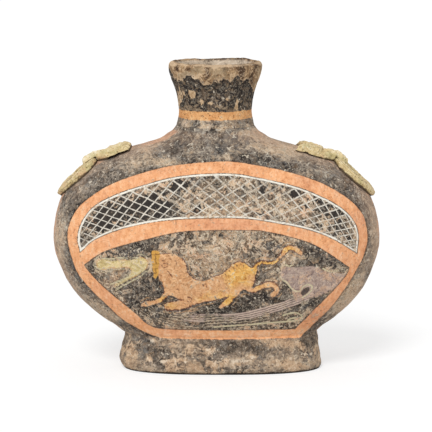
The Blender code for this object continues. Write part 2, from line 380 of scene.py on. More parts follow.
@dataclass(frozen=True)
class PanelDrawing:
    """The painted design of a broad face, as outlines and lines in picture pixels."""

    frame_outline: Outline = (
        (67.5, 238), (72, 218), (84, 202), (112, 184), (155, 169.5), (187, 164), (227, 161.5), (257, 165.5),
        (288, 172), (321, 183), (347, 198), (361, 212), (366.5, 227), (367.4, 241), (363.5, 256),
        (358, 267), (352, 277.5), (346, 287), (338.5, 297.5), (330, 308), (319.5, 318.5), (310, 327.5),
        (303, 334), (299, 337.4), (285, 338.2), (250, 339.2), (215, 339.4), (185, 338.8), (162, 337.6),
        (148, 333.2), (132, 325.2), (119.5, 316.5), (106.5, 304.5), (92.5, 291), (82, 279), (74.5, 266),
    )
    lens_outline: Outline = (
        (80, 252), (79.6, 249), (77.8, 240.5), (80, 226), (92, 208), (115, 195), (151, 183), (182, 176),
        (227, 173.6), (257, 177.6), (297, 187), (324, 198), (344, 210), (355, 223), (358.6, 236.5),
        (357.4, 250), (356.8, 253.5), (354, 251.5), (331, 238), (304, 228.5), (270, 222), (241, 218.4),
        (200, 218.4), (160, 221), (123, 228.5), (96, 239), (83, 249.5),
    )
    panel_outline: Outline = (
        (84, 264.6), (87, 262.5), (107, 250), (151, 238), (187, 231), (249, 230), (270, 232), (304, 240.5),
        (324, 250), (346, 265), (349.4, 268), (345, 277), (333, 291), (313, 311), (297, 327),
        (293.6, 329.1), (270, 329.8), (230, 330.4), (190, 330), (166, 329.2), (154, 327.3), (145, 322.6),
        (137, 315), (123.5, 303.5), (111.5, 294), (98.3, 282), (86.5, 269),
    )
    tiger_outline: Outline = (
        (159, 255), (170, 254), (178, 256), (183, 260), (186, 266), (187, 272), (191, 277), (197, 281),
        (206, 280), (215, 277), (222, 274), (228, 269), (233, 264), (238, 262), (243, 262), (248, 266),
        (252, 268), (256, 266), (257, 270), (255, 278), (253, 285), (248, 290), (242, 291), (238, 295),
        (234, 299), (229, 304.5), (222, 308), (218.5, 308.5), (221, 304), (227, 299), (229, 296),
        (220, 298.5), (209, 301), (199, 303), (190, 306.5), (180, 309.5), (170, 310), (165, 308.5),
        (165, 304), (172, 302), (180, 300.5), (172, 295.5), (167, 297), (162, 301.5), (156, 304),
        (148, 306), (141.5, 306.5), (143, 303), (148, 301), (155, 300), (160, 297.5), (164, 292.5),
        (163, 286), (159, 279), (157, 271), (157.5, 262),
    )
    cloud_outline: Outline = (
        (97, 262), (103, 259), (112, 261), (120, 260), (131, 260), (141, 257), (146.5, 260), (148, 264),
        (145, 270), (138, 275), (130, 279), (123, 283), (117, 286), (115, 285), (121, 281), (127, 277),
        (131, 273), (131, 269), (126, 267), (118, 268), (110, 267.5), (104, 269.5), (98, 268),
    )
    haze_outline: Outline = (
        (283, 268), (288, 266.5), (297, 267), (310, 265.6), (317, 267), (325, 271.5), (334, 273.2),
        (346, 273), (344, 279), (335, 288.7), (321, 295.5), (308, 298), (297, 301.5), (294, 296.5),
        (293, 291), (288, 285), (280, 277.5),
    )
    hole_outline: Outline = (
        (300.6, 293), (303, 289.6), (307, 287), (309.6, 287.6), (309.2, 290.6), (306.6, 293.6),
        (302.6, 295.6),
    )
    tail_line: Outline = (
        (255, 266.5), (258, 264), (262, 262.8), (268, 263.2), (274, 262.4), (279, 258), (284, 252),
        (289, 248.4), (295, 249.4), (301, 253.6),
    )
    tuft_line: Outline = ((282.6, 254.4), (286, 249.6), (290.4, 247.6), (295.4, 249), (300, 252.4))
    hind_leg_line: Outline = (
        (244, 286.5), (249, 289.5), (255, 289.6), (262, 286.6), (270, 284.6), (275, 285.8), (277, 290),
        (273, 295),
    )
    mane_outline: Outline = (
        (151.5, 251.5), (155, 250.5), (159.5, 252), (160, 257), (158.8, 260), (159.6, 264), (158.4, 268),
        (159, 272), (157.6, 276), (155.6, 279), (153.4, 277.5), (153.6, 273), (152.2, 269), (152.6, 265),
        (151.2, 261), (151.8, 257),
    )
    mane_ticks: tuple[Outline, ...] = (
        ((150, 255), (160, 254.4)), ((150, 259.4), (160, 259.6)), ((150, 264.4), (160, 263.8)),
        ((150, 268.4), (160, 268.6)), ((151, 273), (160, 272.6)), ((155.4, 251), (156, 278)),
    )
    pale_lines: tuple[Outline, ...] = (
        ((95, 266), (100, 269), (106, 268), (111, 269.5)),
        ((96, 263), (102, 258.5), (110, 259.5), (118, 257.5), (124, 258.5)),
        ((110, 284.5), (120, 281), (130, 276.5), (139, 272), (146, 266)),
        ((116, 290), (128, 283), (140, 276.5)),
        ((280, 276), (282, 279.5), (287, 282.6), (291, 288), (296, 291.4), (300, 291), (303, 287),
         (308, 284.6), (312, 286.4), (311.4, 290.4), (307.4, 294.4), (302, 297.6)),
        ((281, 268), (284.6, 264.6), (289, 266.4), (293, 264.8)),
        ((283, 315.5), (289, 313.5), (297, 313), (302, 316.5), (299, 320), (290, 321.3), (266, 323)),
        ((266, 323), (250, 324.6), (233, 325.6), (214, 327.2)), ((296, 317.5), (291, 318.6), (288, 319.8)),
        ((323, 268.6), (330, 271.6), (337, 270.6)),
    )
    red_lines: tuple[Outline, ...] = (
        ((187, 297), (191, 298), (191.6, 301), (188.4, 302), (187, 300)),
        ((175, 260), (176.4, 263), (176, 267)),
        ((162, 264.5), (166, 263), (168.5, 265), (165, 267.5), (162, 266.5)),
        ((167, 271), (170, 273.5), (172, 277)),
        ((271, 263.8), (276, 259), (280, 253), (285, 247.4), (288, 245.6)),
        ((258, 262.4), (262, 260.6), (268, 261.4)),
        ((256, 268.5), (254.5, 275), (255.5, 281), (252.5, 286.5)),
        ((259, 284), (266, 281.6), (272, 282), (278, 286), (280.5, 290)),
        ((176, 298), (180, 300), (184, 299.6)), ((206, 284), (206.4, 287.5)), ((211, 282.5), (211.4, 286)),
        ((203, 284), (203, 286.4)), ((233, 267), (235, 270)), ((236.6, 264.5), (238, 268)),
        ((240.6, 263.6), (241, 267)), ((229, 270.4), (231, 273)), ((225, 273.6), (227, 276)),
        ((244, 264.6), (244, 267.6)),
    )
    wave_line: Outline = (
        (176, 315.5), (200, 317.5), (222, 318), (240, 316.4), (259, 312.4), (277, 307.4), (297, 300.6),
        (314, 294),
    )
    ripple_line: Outline = ((140, 306), (158, 316), (178, 321.5), (205, 323), (235, 321.5), (270, 317.5))
    earth_patches: tuple[Patch, ...] = patches(
        (205, 250, 32, 15, 0.42), (225, 262, 24, 12, 0.38), (247, 243, 26, 8, 0.22),
        (285, 240, 26, 7, 0.25), (120, 276, 16, 8, 0.12), (236, 235, 50, 4, 0.18), (145, 246, 15, 8, -0.55),
        (92, 265, 7, 5, -0.42), (150, 284, 20, 9, -0.25), (128, 293, 16, 8, -0.22), (191, 270, 6, 8, -0.5),
        (250, 305, 15, 7, -0.72), (283, 297, 17, 6, -0.6), (315, 251, 11, 6, -0.55),
        (329, 262, 12, 9, -0.45), (213, 308, 26, 5, -0.42), (186, 313, 28, 4, -0.3),
        (105, 300, 14, 10, -0.12), (262, 276, 9, 8, -0.3), (305, 318, 10, 5, -0.25), (318, 306, 9, 6, -0.3),
        (184, 133, 4, 5, -0.9), (173, 153, 8, 5, -0.6), (168, 163, 15, 4, 1.1), (226, 158, 11, 2.6, 0.7),
        (298, 166, 13, 3.4, -0.7), (268, 158, 8, 4, -0.6), (157, 137, 18, 4, 0.8), (232, 137, 20, 5, -0.35),
        (205, 141, 9, 5, -0.1), (112, 158, 12, 4, -0.4), (133, 152, 12, 3, -0.3), (96, 178, 8, 6, -0.25),
        (240, 248, 8, 5, -0.3), (216, 247, 6, 3, -0.3), (150, 312, 12, 8, -0.15), (120, 175, 34, 12, -0.05),
        (78, 200, 11, 14, -0.22), (60, 240, 8, 46, 0.55), (165, 150, 30, 9, 0.08), (210, 150, 34, 9, -0.12),
        (252, 158, 18, 7, -0.5), (215, 135, 34, 6, 0.02), (282, 150, 22, 9, 1.25), (262, 132, 12, 8, 0.5),
        (164, 134, 10, 5, 0.45), (179, 147, 12, 8, -0.42), (300, 170, 18, 5, -0.3),
        (345, 184, 15, 12, -0.42), (366, 206, 9, 22, -0.30), (375, 245, 6, 34, 0.2), (90, 316, 30, 18, 1.0),
        (350, 303, 20, 26, 1.0), (124, 150, 14, 6, -0.15), (146, 165, 20, 5, 0.12), (322, 172, 8, 5, 0.2),
        (240, 168, 90, 3, -0.05), (185, 205, 10, 8, 0.1), (235, 200, 55, 18, 0.3), (300, 212, 34, 14, 0.2),
        (115, 325, 20, 8, 0.05), (320, 330, 12, 12, -0.5), (225, 182, 34, 6, 0.4), (121, 274, 8, 5, 0.5),
    )
    black_cells: tuple[Patch, ...] = patches(
        (98, 224, 18, 18, 0.85), (122, 212, 20, 16, 0.85), (142, 204, 16, 14, 0.8),
        (160, 208, 14, 11, 0.75), (180, 185, 9, 7, 0.95), (163, 192, 12, 8, 0.45), (202, 210, 12, 7, 0.4),
        (228, 190, 10, 6, 0.5), (262, 190, 8, 6, 0.3), (296, 193, 6, 6, 0.95), (312, 198, 12, 7, 0.55),
        (328, 208, 14, 10, 0.7), (342, 222, 13, 13, 0.5), (350, 240, 9, 10, 0.4), (322, 228, 16, 9, 0.35),
        (266, 213, 16, 5, 0.35), (245, 186, 8, 4, 0.3), (306, 208, 9, 6, 0.3),
    )
    gold_patches: tuple[Patch, ...] = patches(
        (238, 275, 15, 14, 0.85), (268, 263, 16, 4, 1.2), (288, 250, 14, 4, 0.7), (258, 287, 8, 5, 0.5),
        (230, 302, 12, 7, 0.8), (252, 268, 6, 6, 1.0), (172, 306, 10, 5, 0.4), (162, 299, 6, 5, 0.7),
        (205, 296, 14, 6, 0.3),
    )
    worn_patches: tuple[Patch, ...] = patches(
        (314, 317, 14, 14, 0.6), (340, 290, 12, 16, 0.2), (186, 224, 22, 5, 0.2), (300, 232, 30, 6, 0.12),
        (366, 225, 6, 40, 0.15), (160, 332, 12, 6, 0.15), (205, 262, 10, 8, 0.3), (235, 338, 40, 2, 0.25),
        (345, 262, 14, 8, 0.15), (192, 317, 26, 5, 0.6), (150, 301, 12, 5, 0.3), (171, 305, 12, 4, 0.2),
        (225, 226, 42, 6, 0.25),
    )
    kept_patches: tuple[Patch, ...] = patches(
        (152, 137, 22, 6, 0.5), (54, 232, 8, 34, 0.3), (378, 235, 6, 30, 0.25), (285, 140, 24, 8, -0.2),
    )
    lattice_pitches: Outline = (
        (60, 5.4), (85, 5.8), (110, 6.8), (150, 7.8), (215, 9.0), (280, 9.0), (315, 7.6), (345, 6.2),
        (380, 5.6),
    )
    rise_angles: Outline = (
        (40, 58), (80, 56), (105, 51), (150, 50), (190, 42), (230, 31), (290, 27), (325, 17), (345, 11),
        (372, 6),
    )
    fall_angles: Outline = (
        (60, 22), (95, 21), (115, 19), (160, 25), (205, 38), (245, 43), (290, 46), (325, 58), (345, 65),
        (380, 68),
    )
    rise_base: Outline = (
        (30, 206), (140, 205), (175, 199), (205, 196.5), (241, 196.5), (285, 203), (318, 213), (343, 228),
        (358, 248), (368, 268), (374, 286),
    )
    fall_base: Outline = (
        (52, 292), (66, 264), (80, 246), (96, 226), (123, 212), (160, 201), (200, 196.5), (241, 196.5),
        (285, 201), (320, 205), (400, 206),
    )
    tail_half_width: float = 1.35
    tuft_half_width: float = 2.2
    leg_half_width: float = 2.3
    broad_steps: int = 5
    small_steps: int = 3
    base_steps: int = 60
    lattice_reach: float = 4.0
    far_down: float = 500.0

    def lattice_phase(self, spots: Points, base: Outline, angles: Outline, falls: bool) -> Points:
        """Count the lines of one family of the lattice up to each spot.

        Args:
            spots: places in the picture.
            base: a line that all lines of the family cross.
            angles: the lines' angle in degrees at places across.
            falls: whether the lines fall to the right, and do not rise.

        Returns:
            A number that grows by one from each line to the next.
        """
        across, down = refined(base, steps=self.base_steps).T
        tilt = np.radians(np.interp(across, *np.array(angles).T)) * (1.0 if falls else -1.0)
        run, drop = np.gradient(across), np.gradient(down)
        crossed = np.abs(run * np.sin(tilt) - drop * np.cos(tilt))
        count = np.cumsum(crossed / np.interp(across, *np.array(self.lattice_pitches).T))
        off = (spots[:, :1] - across) * np.sin(tilt) - (spots[:, 1:] - down) * np.cos(tilt)
        if not falls:
            off = -off
        after = np.clip((off > 0).sum(1), 1, len(across) - 1)
        row = np.arange(len(spots))
        before_off, after_off = off[row, after - 1], off[row, after]
        share = np.clip(before_off / np.where(before_off == after_off, 1.0, before_off - after_off), 0.0, 1.0)
        return blend(count[after - 1], count[after], share)

    def wear(self, spots: Points) -> dict[str, Points]:
        """Return how much earth lies on spots of the picture and how far the paint is worn or kept."""
        groups = {"earth": self.earth_patches, "worn": self.worn_patches, "kept": self.kept_patches}
        return {name: patch_sum(group, *spots.T) for name, group in groups.items()}

    def shapes(self, spots: Points) -> dict[str, Points]:
        """Return how deep spots of the picture lie inside each painted shape, in pixels.

        Args:
            spots: places in the picture, one row each.

        Returns:
            The depths by the names of the shapes, below zero outside of them.
        """
        broad = {"frame": self.frame_outline, "lens": self.lens_outline, "panel": self.panel_outline}
        small = {"cloud": self.cloud_outline, "haze": self.haze_outline, "hole": self.hole_outline,
                 "mane": self.mane_outline, "tiger": self.tiger_outline}
        found = {}
        for group, steps in ((broad, self.broad_steps), (small, self.small_steps)):
            for name, outline in group.items():
                found[name] = distance_inside(spots, refined(outline, closed=True, steps=steps))
        limbs = ((self.tail_line, self.tail_half_width), (self.tuft_line, self.tuft_half_width),
                 (self.hind_leg_line, self.leg_half_width))
        for line, half_width in limbs:
            inside = half_width - distance_to_line(spots, refined(line))
            found["tiger"] = np.maximum(found["tiger"], inside)
        return found

    def values(self, spots: Points) -> dict[str, Points]:
        """Return every painted value at spots of the picture.

        Args:
            spots: places in the picture, one row each.

        Returns:
            The values by the names that the finish reads.
        """
        found = {**self.shapes(spots), **self.wear(spots)}
        for name, group in (("black", self.black_cells), ("gold", self.gold_patches)):
            found[name] = patch_sum(group, *spots.T)
        near = found["lens"] > -self.lattice_reach
        families = {"rise": (self.rise_base, self.rise_angles), "fall": (self.fall_base, self.fall_angles)}
        for name, (base, angles) in families.items():
            found[name] = np.zeros(len(spots))
            found[name][near] = self.lattice_phase(spots[near], base, angles, name == "fall")
        lines = {"pale_line": self.pale_lines, "red_line": self.red_lines, "tick": self.mane_ticks}
        for name, group in lines.items():
            offs = [distance_to_line(spots, refined(line, steps=self.small_steps)) for line in group]
            found[name] = np.min(offs, axis=0)
        for name, line in (("wave", self.wave_line), ("ripple", self.ripple_line)):
            path = np.interp(spots[:, 0], *refined(line).T, self.far_down, self.far_down)
            found[name] = spots[:, 1] - path
        return found


# Forms


@dataclass(frozen=True)
class FlaskForm:
    """The body's shape: its sizes in metres and its outline in shares of them."""

    half_width: float
    half_depth: float
    underside_height: float
    seam_height: float
    belly_height: float = 0.124
    seam_radius: float = 0.0359
    wall: float = 0.008
    foot_shift: float = 0.0052
    neck_shift: float = -0.0011
    belly_squareness: float = 2.3
    round_squareness: float = 2.0
    shoulder_shares: tuple[Triple, ...] = (
        (1.0, 0.0, 0.0), (0.952, 0.033, 0.03), (0.916, 0.081, 0.065), (0.879, 0.132, 0.11),
        (0.841, 0.235, 0.165), (0.804, 0.350, 0.23), (0.767, 0.455, 0.31), (0.702, 0.585, 0.43),
        (0.621, 0.705, 0.56), (0.515, 0.820, 0.70), (0.382, 0.917, 0.83), (0.202, 0.976, 0.95),
    )
    keel_shares: tuple[Triple, ...] = (
        (0.0, 1.0, 1.0), (0.138, 0.991, 0.991), (0.277, 0.957, 0.955), (0.416, 0.912, 0.910),
        (0.554, 0.838, 0.850), (0.694, 0.727, 0.765), (0.763, 0.652, 0.710), (0.828, 0.591, 0.648),
        (0.888, 0.485, 0.540), (0.942, 0.345, 0.385), (0.984, 0.175, 0.195), (1.0, 0.0, 0.0),
    )
    swell_height: float = 0.00035
    swell_size: float = 0.042
    dimple_height: float = 0.00026
    dimple_size: float = 0.009
    grit_height: float = 0.00014
    grit_size: float = 0.0032
    calm_height: float = 0.010
    fine_places: int = 1200

    @classmethod
    def from_frame(cls) -> "FlaskForm":
        """Read the body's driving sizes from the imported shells."""
        low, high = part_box("front_shell")
        return cls(half_width=high.x, half_depth=-low.y, underside_height=low.z, seam_height=high.z)

    def stations(self) -> Points:
        """Return the sections that the smooth outline runs through.

        Returns:
            Height, half width, half depth and squareness, one row each, from the seam down.
        """
        rise = self.seam_height - self.belly_height
        drop = self.belly_height - self.underside_height
        up, wide, deep = np.array(self.shoulder_shares).T
        shoulder = [
            self.belly_height + rise * up,
            blend(self.seam_radius, self.half_width, wide),
            blend(self.seam_radius, self.half_depth, deep),
            blend(self.round_squareness, self.belly_squareness, wide),
        ]
        down, wide, deep = np.array(self.keel_shares).T
        keel = [
            self.belly_height - drop * down,
            self.half_width * wide,
            self.half_depth * deep,
            np.full(len(down), self.belly_squareness),
        ]
        return np.concatenate([np.array(shoulder).T, np.array(keel).T])

    def sections(self, places: Points) -> Points:
        """Return the smooth outline at places counted in stations."""
        return smooth_curve(self.stations(), places)

    def even_places(self, count: int, last: float) -> Points:
        """Return places from the seam to a last one, evenly spread over the surface.

        Args:
            count: number of places.
            last: the last place, counted in stations.

        Returns:
            The places, counted in stations.
        """
        places = np.linspace(0.0, last, self.fine_places)
        height, wide, deep, _ = self.sections(places).T
        step = np.hypot(np.diff(height), np.hypot(np.diff(wide), np.diff(deep)) / math.sqrt(2))
        length = np.concatenate([[0.0], np.cumsum(step)])
        return np.interp(np.linspace(0.0, length[-1], count), length, places)

    def lean(self, height: Points) -> Points:
        """Return how far the hand-made flask stands to the right at heights.

        Args:
            height: heights over the floor.

        Returns:
            The shift to the right at each height.
        """
        below = self.foot_shift * np.clip(1.0 - height / self.belly_height, 0.0, None) ** 2
        rise = (height - self.belly_height) / (self.seam_height - self.belly_height)
        return below + self.neck_shift * np.clip(rise, 0.0, 1.0)

    def turned_to_front(self, points: Points) -> Points:
        """Return the points, those of the back turned half round to the front.

        Args:
            points: points in space, one row each.

        Returns:
            The points, all at the front.
        """
        turned = points * np.array([-1.0, -1.0, 1.0])
        turned[:, 0] += 2.0 * self.lean(points[:, 2])
        return np.where(points[:, 1:2] > 0.0, turned, points)

    def mirrored_to_front(self, points: Points) -> Points:
        """Return the points, those of the back mirrored to the front."""
        return np.where(points[:, 1:2] > 0.0, points * np.array([1.0, -1.0, 1.0]), points)

    def plan_grid(self, sections: Points, angles: Points, grow: Points | float = 0.0) -> Points:
        """Return the grid of points of plans at angles.

        Args:
            sections: height, half width, half depth and squareness, one row each.
            angles: the angles of the columns.
            grow: how much larger each plan is than its section.

        Returns:
            Rows and columns of points.
        """
        height, wide, deep, square = (column[:, None] for column in sections.T)
        cosine, sine = np.cos(angles)[None, :], np.sin(angles)[None, :]
        power = 2.0 / square
        grown = np.broadcast_to(np.asarray(grow, float), (len(sections),))[:, None]
        x = (wide + grown) * np.sign(cosine) * np.abs(cosine) ** power
        y = (deep + grown) * np.sign(sine) * np.abs(sine) ** power
        z = np.broadcast_to(height, x.shape)
        return np.stack([x + self.lean(z), y, z], axis=-1)

    def hand_marks(self, points: Points) -> Points:
        """Return how far the hand-made surface lies off the smooth one at points.

        Args:
            points: points in space.

        Returns:
            The height of the marks at each point.
        """
        swell = self.swell_height * rough_noise(points, self.swell_size)
        dimple = self.dimple_height * rough_noise(points, self.dimple_size, seed=3.1)
        grit = self.grit_height * rough_noise(points, self.grit_size, seed=7.7)
        near_seam = np.abs(points[..., 2] - self.seam_height)
        return (swell + dimple + grit) * smooth_step(0.0, self.calm_height, near_seam)


@dataclass(frozen=True)
class HalfBody:
    """One moulded half of the body, painted on its outside."""

    form: FlaskForm
    camera: PictureCamera
    drawing: PanelDrawing
    face: Face
    rows: int = 236
    columns: int = 353
    coarse: int = 4
    last_place: float = 22.97
    side_band_half_width: float = 0.0135
    side_band_widening: float = 0.005
    side_band_widens: tuple[float, float] = (0.19, 0.22)
    side_band_ending: float = 0.03
    side_band_ends: float = 0.2215
    wear_run_on: float = 0.028
    seam_angle: float = 1.2
    pole_lean_height: float = 0.015

    def surface(self) -> Surface:
        """Model the half: a fine outside, a coarse inside and the edges that join them.

        Returns:
            The surface with its painted values.
        """
        places = self.form.even_places(self.rows, self.last_place)
        start = math.pi if self.face is Face.FRONT else 0.0
        angles = start + np.linspace(0.0, math.pi, self.columns)
        outer = self.form.plan_grid(self.form.sections(places), angles)
        outer[:, [0, -1], 1] = 0.0
        normals = grid_normals(outer)
        inner = (outer - normals * self.form.wall)[:: self.coarse, :: self.coarse]
        inner[0, :, 2] = self.form.seam_height
        inner[:, [0, -1], 1] = 0.0
        outer += normals * self.form.hand_marks(outer)[..., None]
        outer[:, [0, -1], 1] = 0.0
        pole = np.array([[self.form.lean(self.pole_lean_height), 0.0, self.form.underside_height]])
        pole_inside = pole + np.array([[0.0, 0.0, self.form.wall]])
        points = np.concatenate([outer.reshape(-1, 3), inner.reshape(-1, 3), pole, pole_inside])
        faces = self.faces(inner.shape[0], inner.shape[1])
        return Surface(points, faces, self.values(points), self.seam_angle)

    def faces(self, inner_rows: int, inner_columns: int) -> list[list[int]]:
        """Return the faces of both skins, the fans at the underside and the joined edges.

        Args:
            inner_rows: number of rows of the coarse inside.
            inner_columns: number of points in such a row.

        Returns:
            The faces as lists of point numbers.
        """
        size = self.rows * self.columns
        pole = size + inner_rows * inner_columns
        faces = grid_quads(self.rows, self.columns) + grid_quads(inner_rows, inner_columns, size)
        for past, columns, tip in ((size, self.columns, pole), (pole, inner_columns, pole + 1)):
            faces += [[past - k, past - k - 1, tip] for k in range(1, columns)]
        faces += self.joined(list(range(self.columns)), [size + k for k in range(inner_columns)])
        for column, inner_column in ((0, 0), (self.columns - 1, inner_columns - 1)):
            edge = [row * self.columns + column for row in range(self.rows)]
            inner_edge = [size + row * inner_columns + inner_column for row in range(inner_rows)]
            faces += self.joined(edge, inner_edge)
            faces.append(edge[self.coarse * (inner_rows - 1) :] + [pole, pole + 1, inner_edge[-1]])
        return faces

    def joined(self, edge: list[int], inner_edge: list[int]) -> list[list[int]]:
        """Return the faces between a fine edge and the coarse one inside it.

        Args:
            edge: the numbers of the fine edge's points.
            inner_edge: the numbers of the coarse edge's points.

        Returns:
            The faces as lists of point numbers.
        """
        faces = []
        for step in range(len(inner_edge) - 1):
            fine = edge[step * self.coarse : (step + 1) * self.coarse + 1]
            faces.append(fine + [inner_edge[step + 1], inner_edge[step]])
        return faces

    def values(self, points: Points) -> dict[str, Points]:
        """Return the painted values of the points.

        Args:
            points: the points of both skins, the outer ones first.

        Returns:
            The values by the names that the finish reads.
        """
        found = self.drawing.values(self.camera.pixels(self.form.turned_to_front(points)))
        beside = self.drawing.wear(self.camera.pixels(self.form.mirrored_to_front(points)))
        past_side = smooth_step(0.0, self.wear_run_on, points[:, 1])
        for name, strength in beside.items():
            found[name] = blend(strength, found[name], past_side)
        found["bare"] = np.where(np.arange(len(points)) < self.rows * self.columns, 0.0, 1.0)
        height = points[:, 2]
        wider = self.side_band_widening * smooth_step(*self.side_band_widens, height)
        narrower = self.side_band_ending * smooth_step(self.side_band_ends, self.form.seam_height, height)
        half_width = self.side_band_half_width + wider - narrower
        found["side"] = (half_width - np.abs(points[:, 1])) * 1000.0
        return found


@dataclass(frozen=True)
class Neck:
    """The thrown neck: flared mouth, rounded lip and bore."""

    form: FlaskForm
    camera: PictureCamera
    mouth_radius: float
    top: float
    waist_radius: float = 0.0336
    wall: float = 0.0066
    lip_rise: float = 0.0042
    columns: int = 260
    rows_outside: int = 84
    rows_lip: int = 18
    rows_inside: int = 60
    lip_wave: float = 0.0007
    lip_wave_size: float = 0.013
    lip_reach: float = 0.012
    lip_settle: float = 0.0003
    far_lip_depths: tuple[float, float] = (-0.01, 0.02)
    far_lip_rows: int = 8
    far_lip_shade: float = 0.5
    bare_rows: tuple[float, float] = (12.0, 17.0)
    crest_row: float = 5.0
    crest_rows: float = 4.0
    band_low: float = 0.2335
    band_high: float = 0.2412
    shares: Outline = ((0.20, 0.0), (0.36, 0.08), (0.48, 0.22), (0.61, 0.45), (0.73, 0.74), (0.84, 0.95))
    peel_edge: Outline = (
        (168, 66), (171, 73), (174, 78.5), (177, 81), (182, 79.5), (186, 76), (189, 74), (193, 77),
        (197, 80), (202, 84), (208, 86), (212, 85.5), (214, 81.5), (217, 80.8), (220, 81), (223, 78.5),
        (226, 81), (229, 82.5), (234, 80), (238, 76), (241, 80), (243, 82.5), (246, 78.5), (249, 81),
        (252, 88), (255, 94), (258, 96), (262, 97),
    )
    pale_patches: tuple[Patch, ...] = patches(
        (193, 95, 3.5, 4, 0.6), (190, 92, 2, 2, 0.35), (202, 103, 2.2, 4, 0.7), (210, 103.5, 4, 1.6, 0.6),
        (237, 104, 1.4, 6, 0.75), (227, 99.5, 2, 1.6, 0.6), (226, 90, 1.4, 3, 0.35), (180, 90, 5, 13, 0.3),
        (176, 105, 5, 5, 0.45), (215, 108, 22, 2.5, 0.25), (182, 96, 6, 5, 0.2), (251, 105, 3, 5, 0.1),
    )
    dark_patches: tuple[Patch, ...] = patches(
        (242, 72, 3, 6, -1.6), (177, 68, 2, 4, -0.9), (207, 72, 3, 6, -0.8), (190, 70, 8, 2, -0.5),
        (233, 66, 8, 2, -0.5), (251, 78, 2, 5, -0.7), (224, 69, 4, 3, -0.35), (255, 70, 3, 7, -0.3),
        (214, 88, 28, 8, -0.25), (240, 95, 12, 10, -0.25), (191, 86, 9, 6, -0.2), (258, 66, 2, 1.5, -0.6),
        (179, 126, 2.4, 3, -0.7), (217, 125, 6, 2, -0.2), (252, 122, 4, 6, -0.1),
    )

    @classmethod
    def from_frame(cls, form: FlaskForm, camera: PictureCamera) -> "Neck":
        """Read the mouth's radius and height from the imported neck."""
        low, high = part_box("neck")
        return cls(form, camera, (high.x - low.x) / 2, high.z)

    def profile(self) -> Points:
        """Return the outline from the seam, over the lip and down the bore.

        Returns:
            Radius and height, one row each.
        """
        height = self.top - self.form.seam_height
        outside = [(self.form.seam_radius, self.form.seam_height)]
        for up, flare in self.shares:
            radius = blend(self.waist_radius, self.mouth_radius, flare)
            outside.append((radius, self.form.seam_height + height * up))
        outside.append((self.mouth_radius, self.top - self.lip_rise))
        outer = smooth_curve(outside, np.linspace(0, len(outside) - 1, self.rows_outside))
        turn = np.linspace(0, math.pi, self.rows_lip + 2)[1:-1]
        half = self.wall / 2
        lip_radius = self.mouth_radius - half + half * np.cos(turn)
        lip = np.stack([lip_radius, self.top - self.lip_rise + self.lip_rise * np.sin(turn)], axis=1)
        inside = [(radius - self.wall, level) for radius, level in reversed(outside[1:])]
        inside.append((self.form.seam_radius - self.form.wall, self.form.seam_height))
        bore = smooth_curve(inside, np.linspace(0, len(inside) - 1, self.rows_inside))
        return np.concatenate([outer, lip, bore])

    def surface(self) -> Surface:
        """Model the neck with its thrower's ridges and uneven lip.

        Returns:
            The surface with its painted values.
        """
        profile = self.profile()
        angles = np.linspace(0, 2 * math.pi, self.columns, endpoint=False)
        square = np.full(len(profile), self.form.round_squareness)
        sections = np.stack([profile[:, 1], profile[:, 0], profile[:, 0], square], axis=1)
        grid = self.form.plan_grid(sections, angles)
        near_lip = smooth_step(self.top - self.lip_reach, self.top, grid[..., 2])
        rim = rough_noise(grid * np.array([1.0, 1.0, 0.0]), self.lip_wave_size, seed=5.0)
        marks = self.form.hand_marks(grid) * (1.0 + near_lip)
        grid = grid + wrapped_normals(grid) * marks[..., None]
        grid[..., 2] += self.lip_wave * rim * near_lip - self.lip_settle * near_lip
        points = grid.reshape(-1, 3)
        faces = grid_quads(len(profile), self.columns, round_rows=True)
        return Surface(points, faces, self.values(points, len(profile)))

    def values(self, points: Points, rows: int) -> dict[str, Points]:
        """Return the painted values: peeled slip, pale and dark spots with painted shade inside the far lip,
        band, bare bore and a painted highlight along the lip.

        Args:
            points: the neck's points, row by row.
            rows: number of rows.

        Returns:
            The values by the names that the finish reads.
        """
        across, down = self.camera.pixels(self.form.mirrored_to_front(points)).T
        past_wall = np.repeat(np.arange(rows), self.columns) - float(self.rows_outside)
        far_lip = smooth_step(*self.far_lip_depths, points[:, 1]) * (past_wall > -self.far_lip_rows)
        return {
            "peel": np.interp(across, *np.array(self.peel_edge).T) - down,
            # The earth value also darkens the far lip inside the mouth as painted shade.
            "earth": patch_sum(self.dark_patches, across, down) - self.far_lip_shade * far_lip,
            "flake": patch_sum(self.pale_patches, across, down),
            "band": np.minimum(points[:, 2] - self.band_low, self.band_high - points[:, 2]) * 1000.0,
            "bare": smooth_step(*self.bare_rows, past_wall),
            # Painted highlight along the top of the lip, left off on the far side.
            "crest": np.exp(-(((past_wall - self.crest_row) / self.crest_rows) ** 2)) * (1.0 - far_lip),
        }


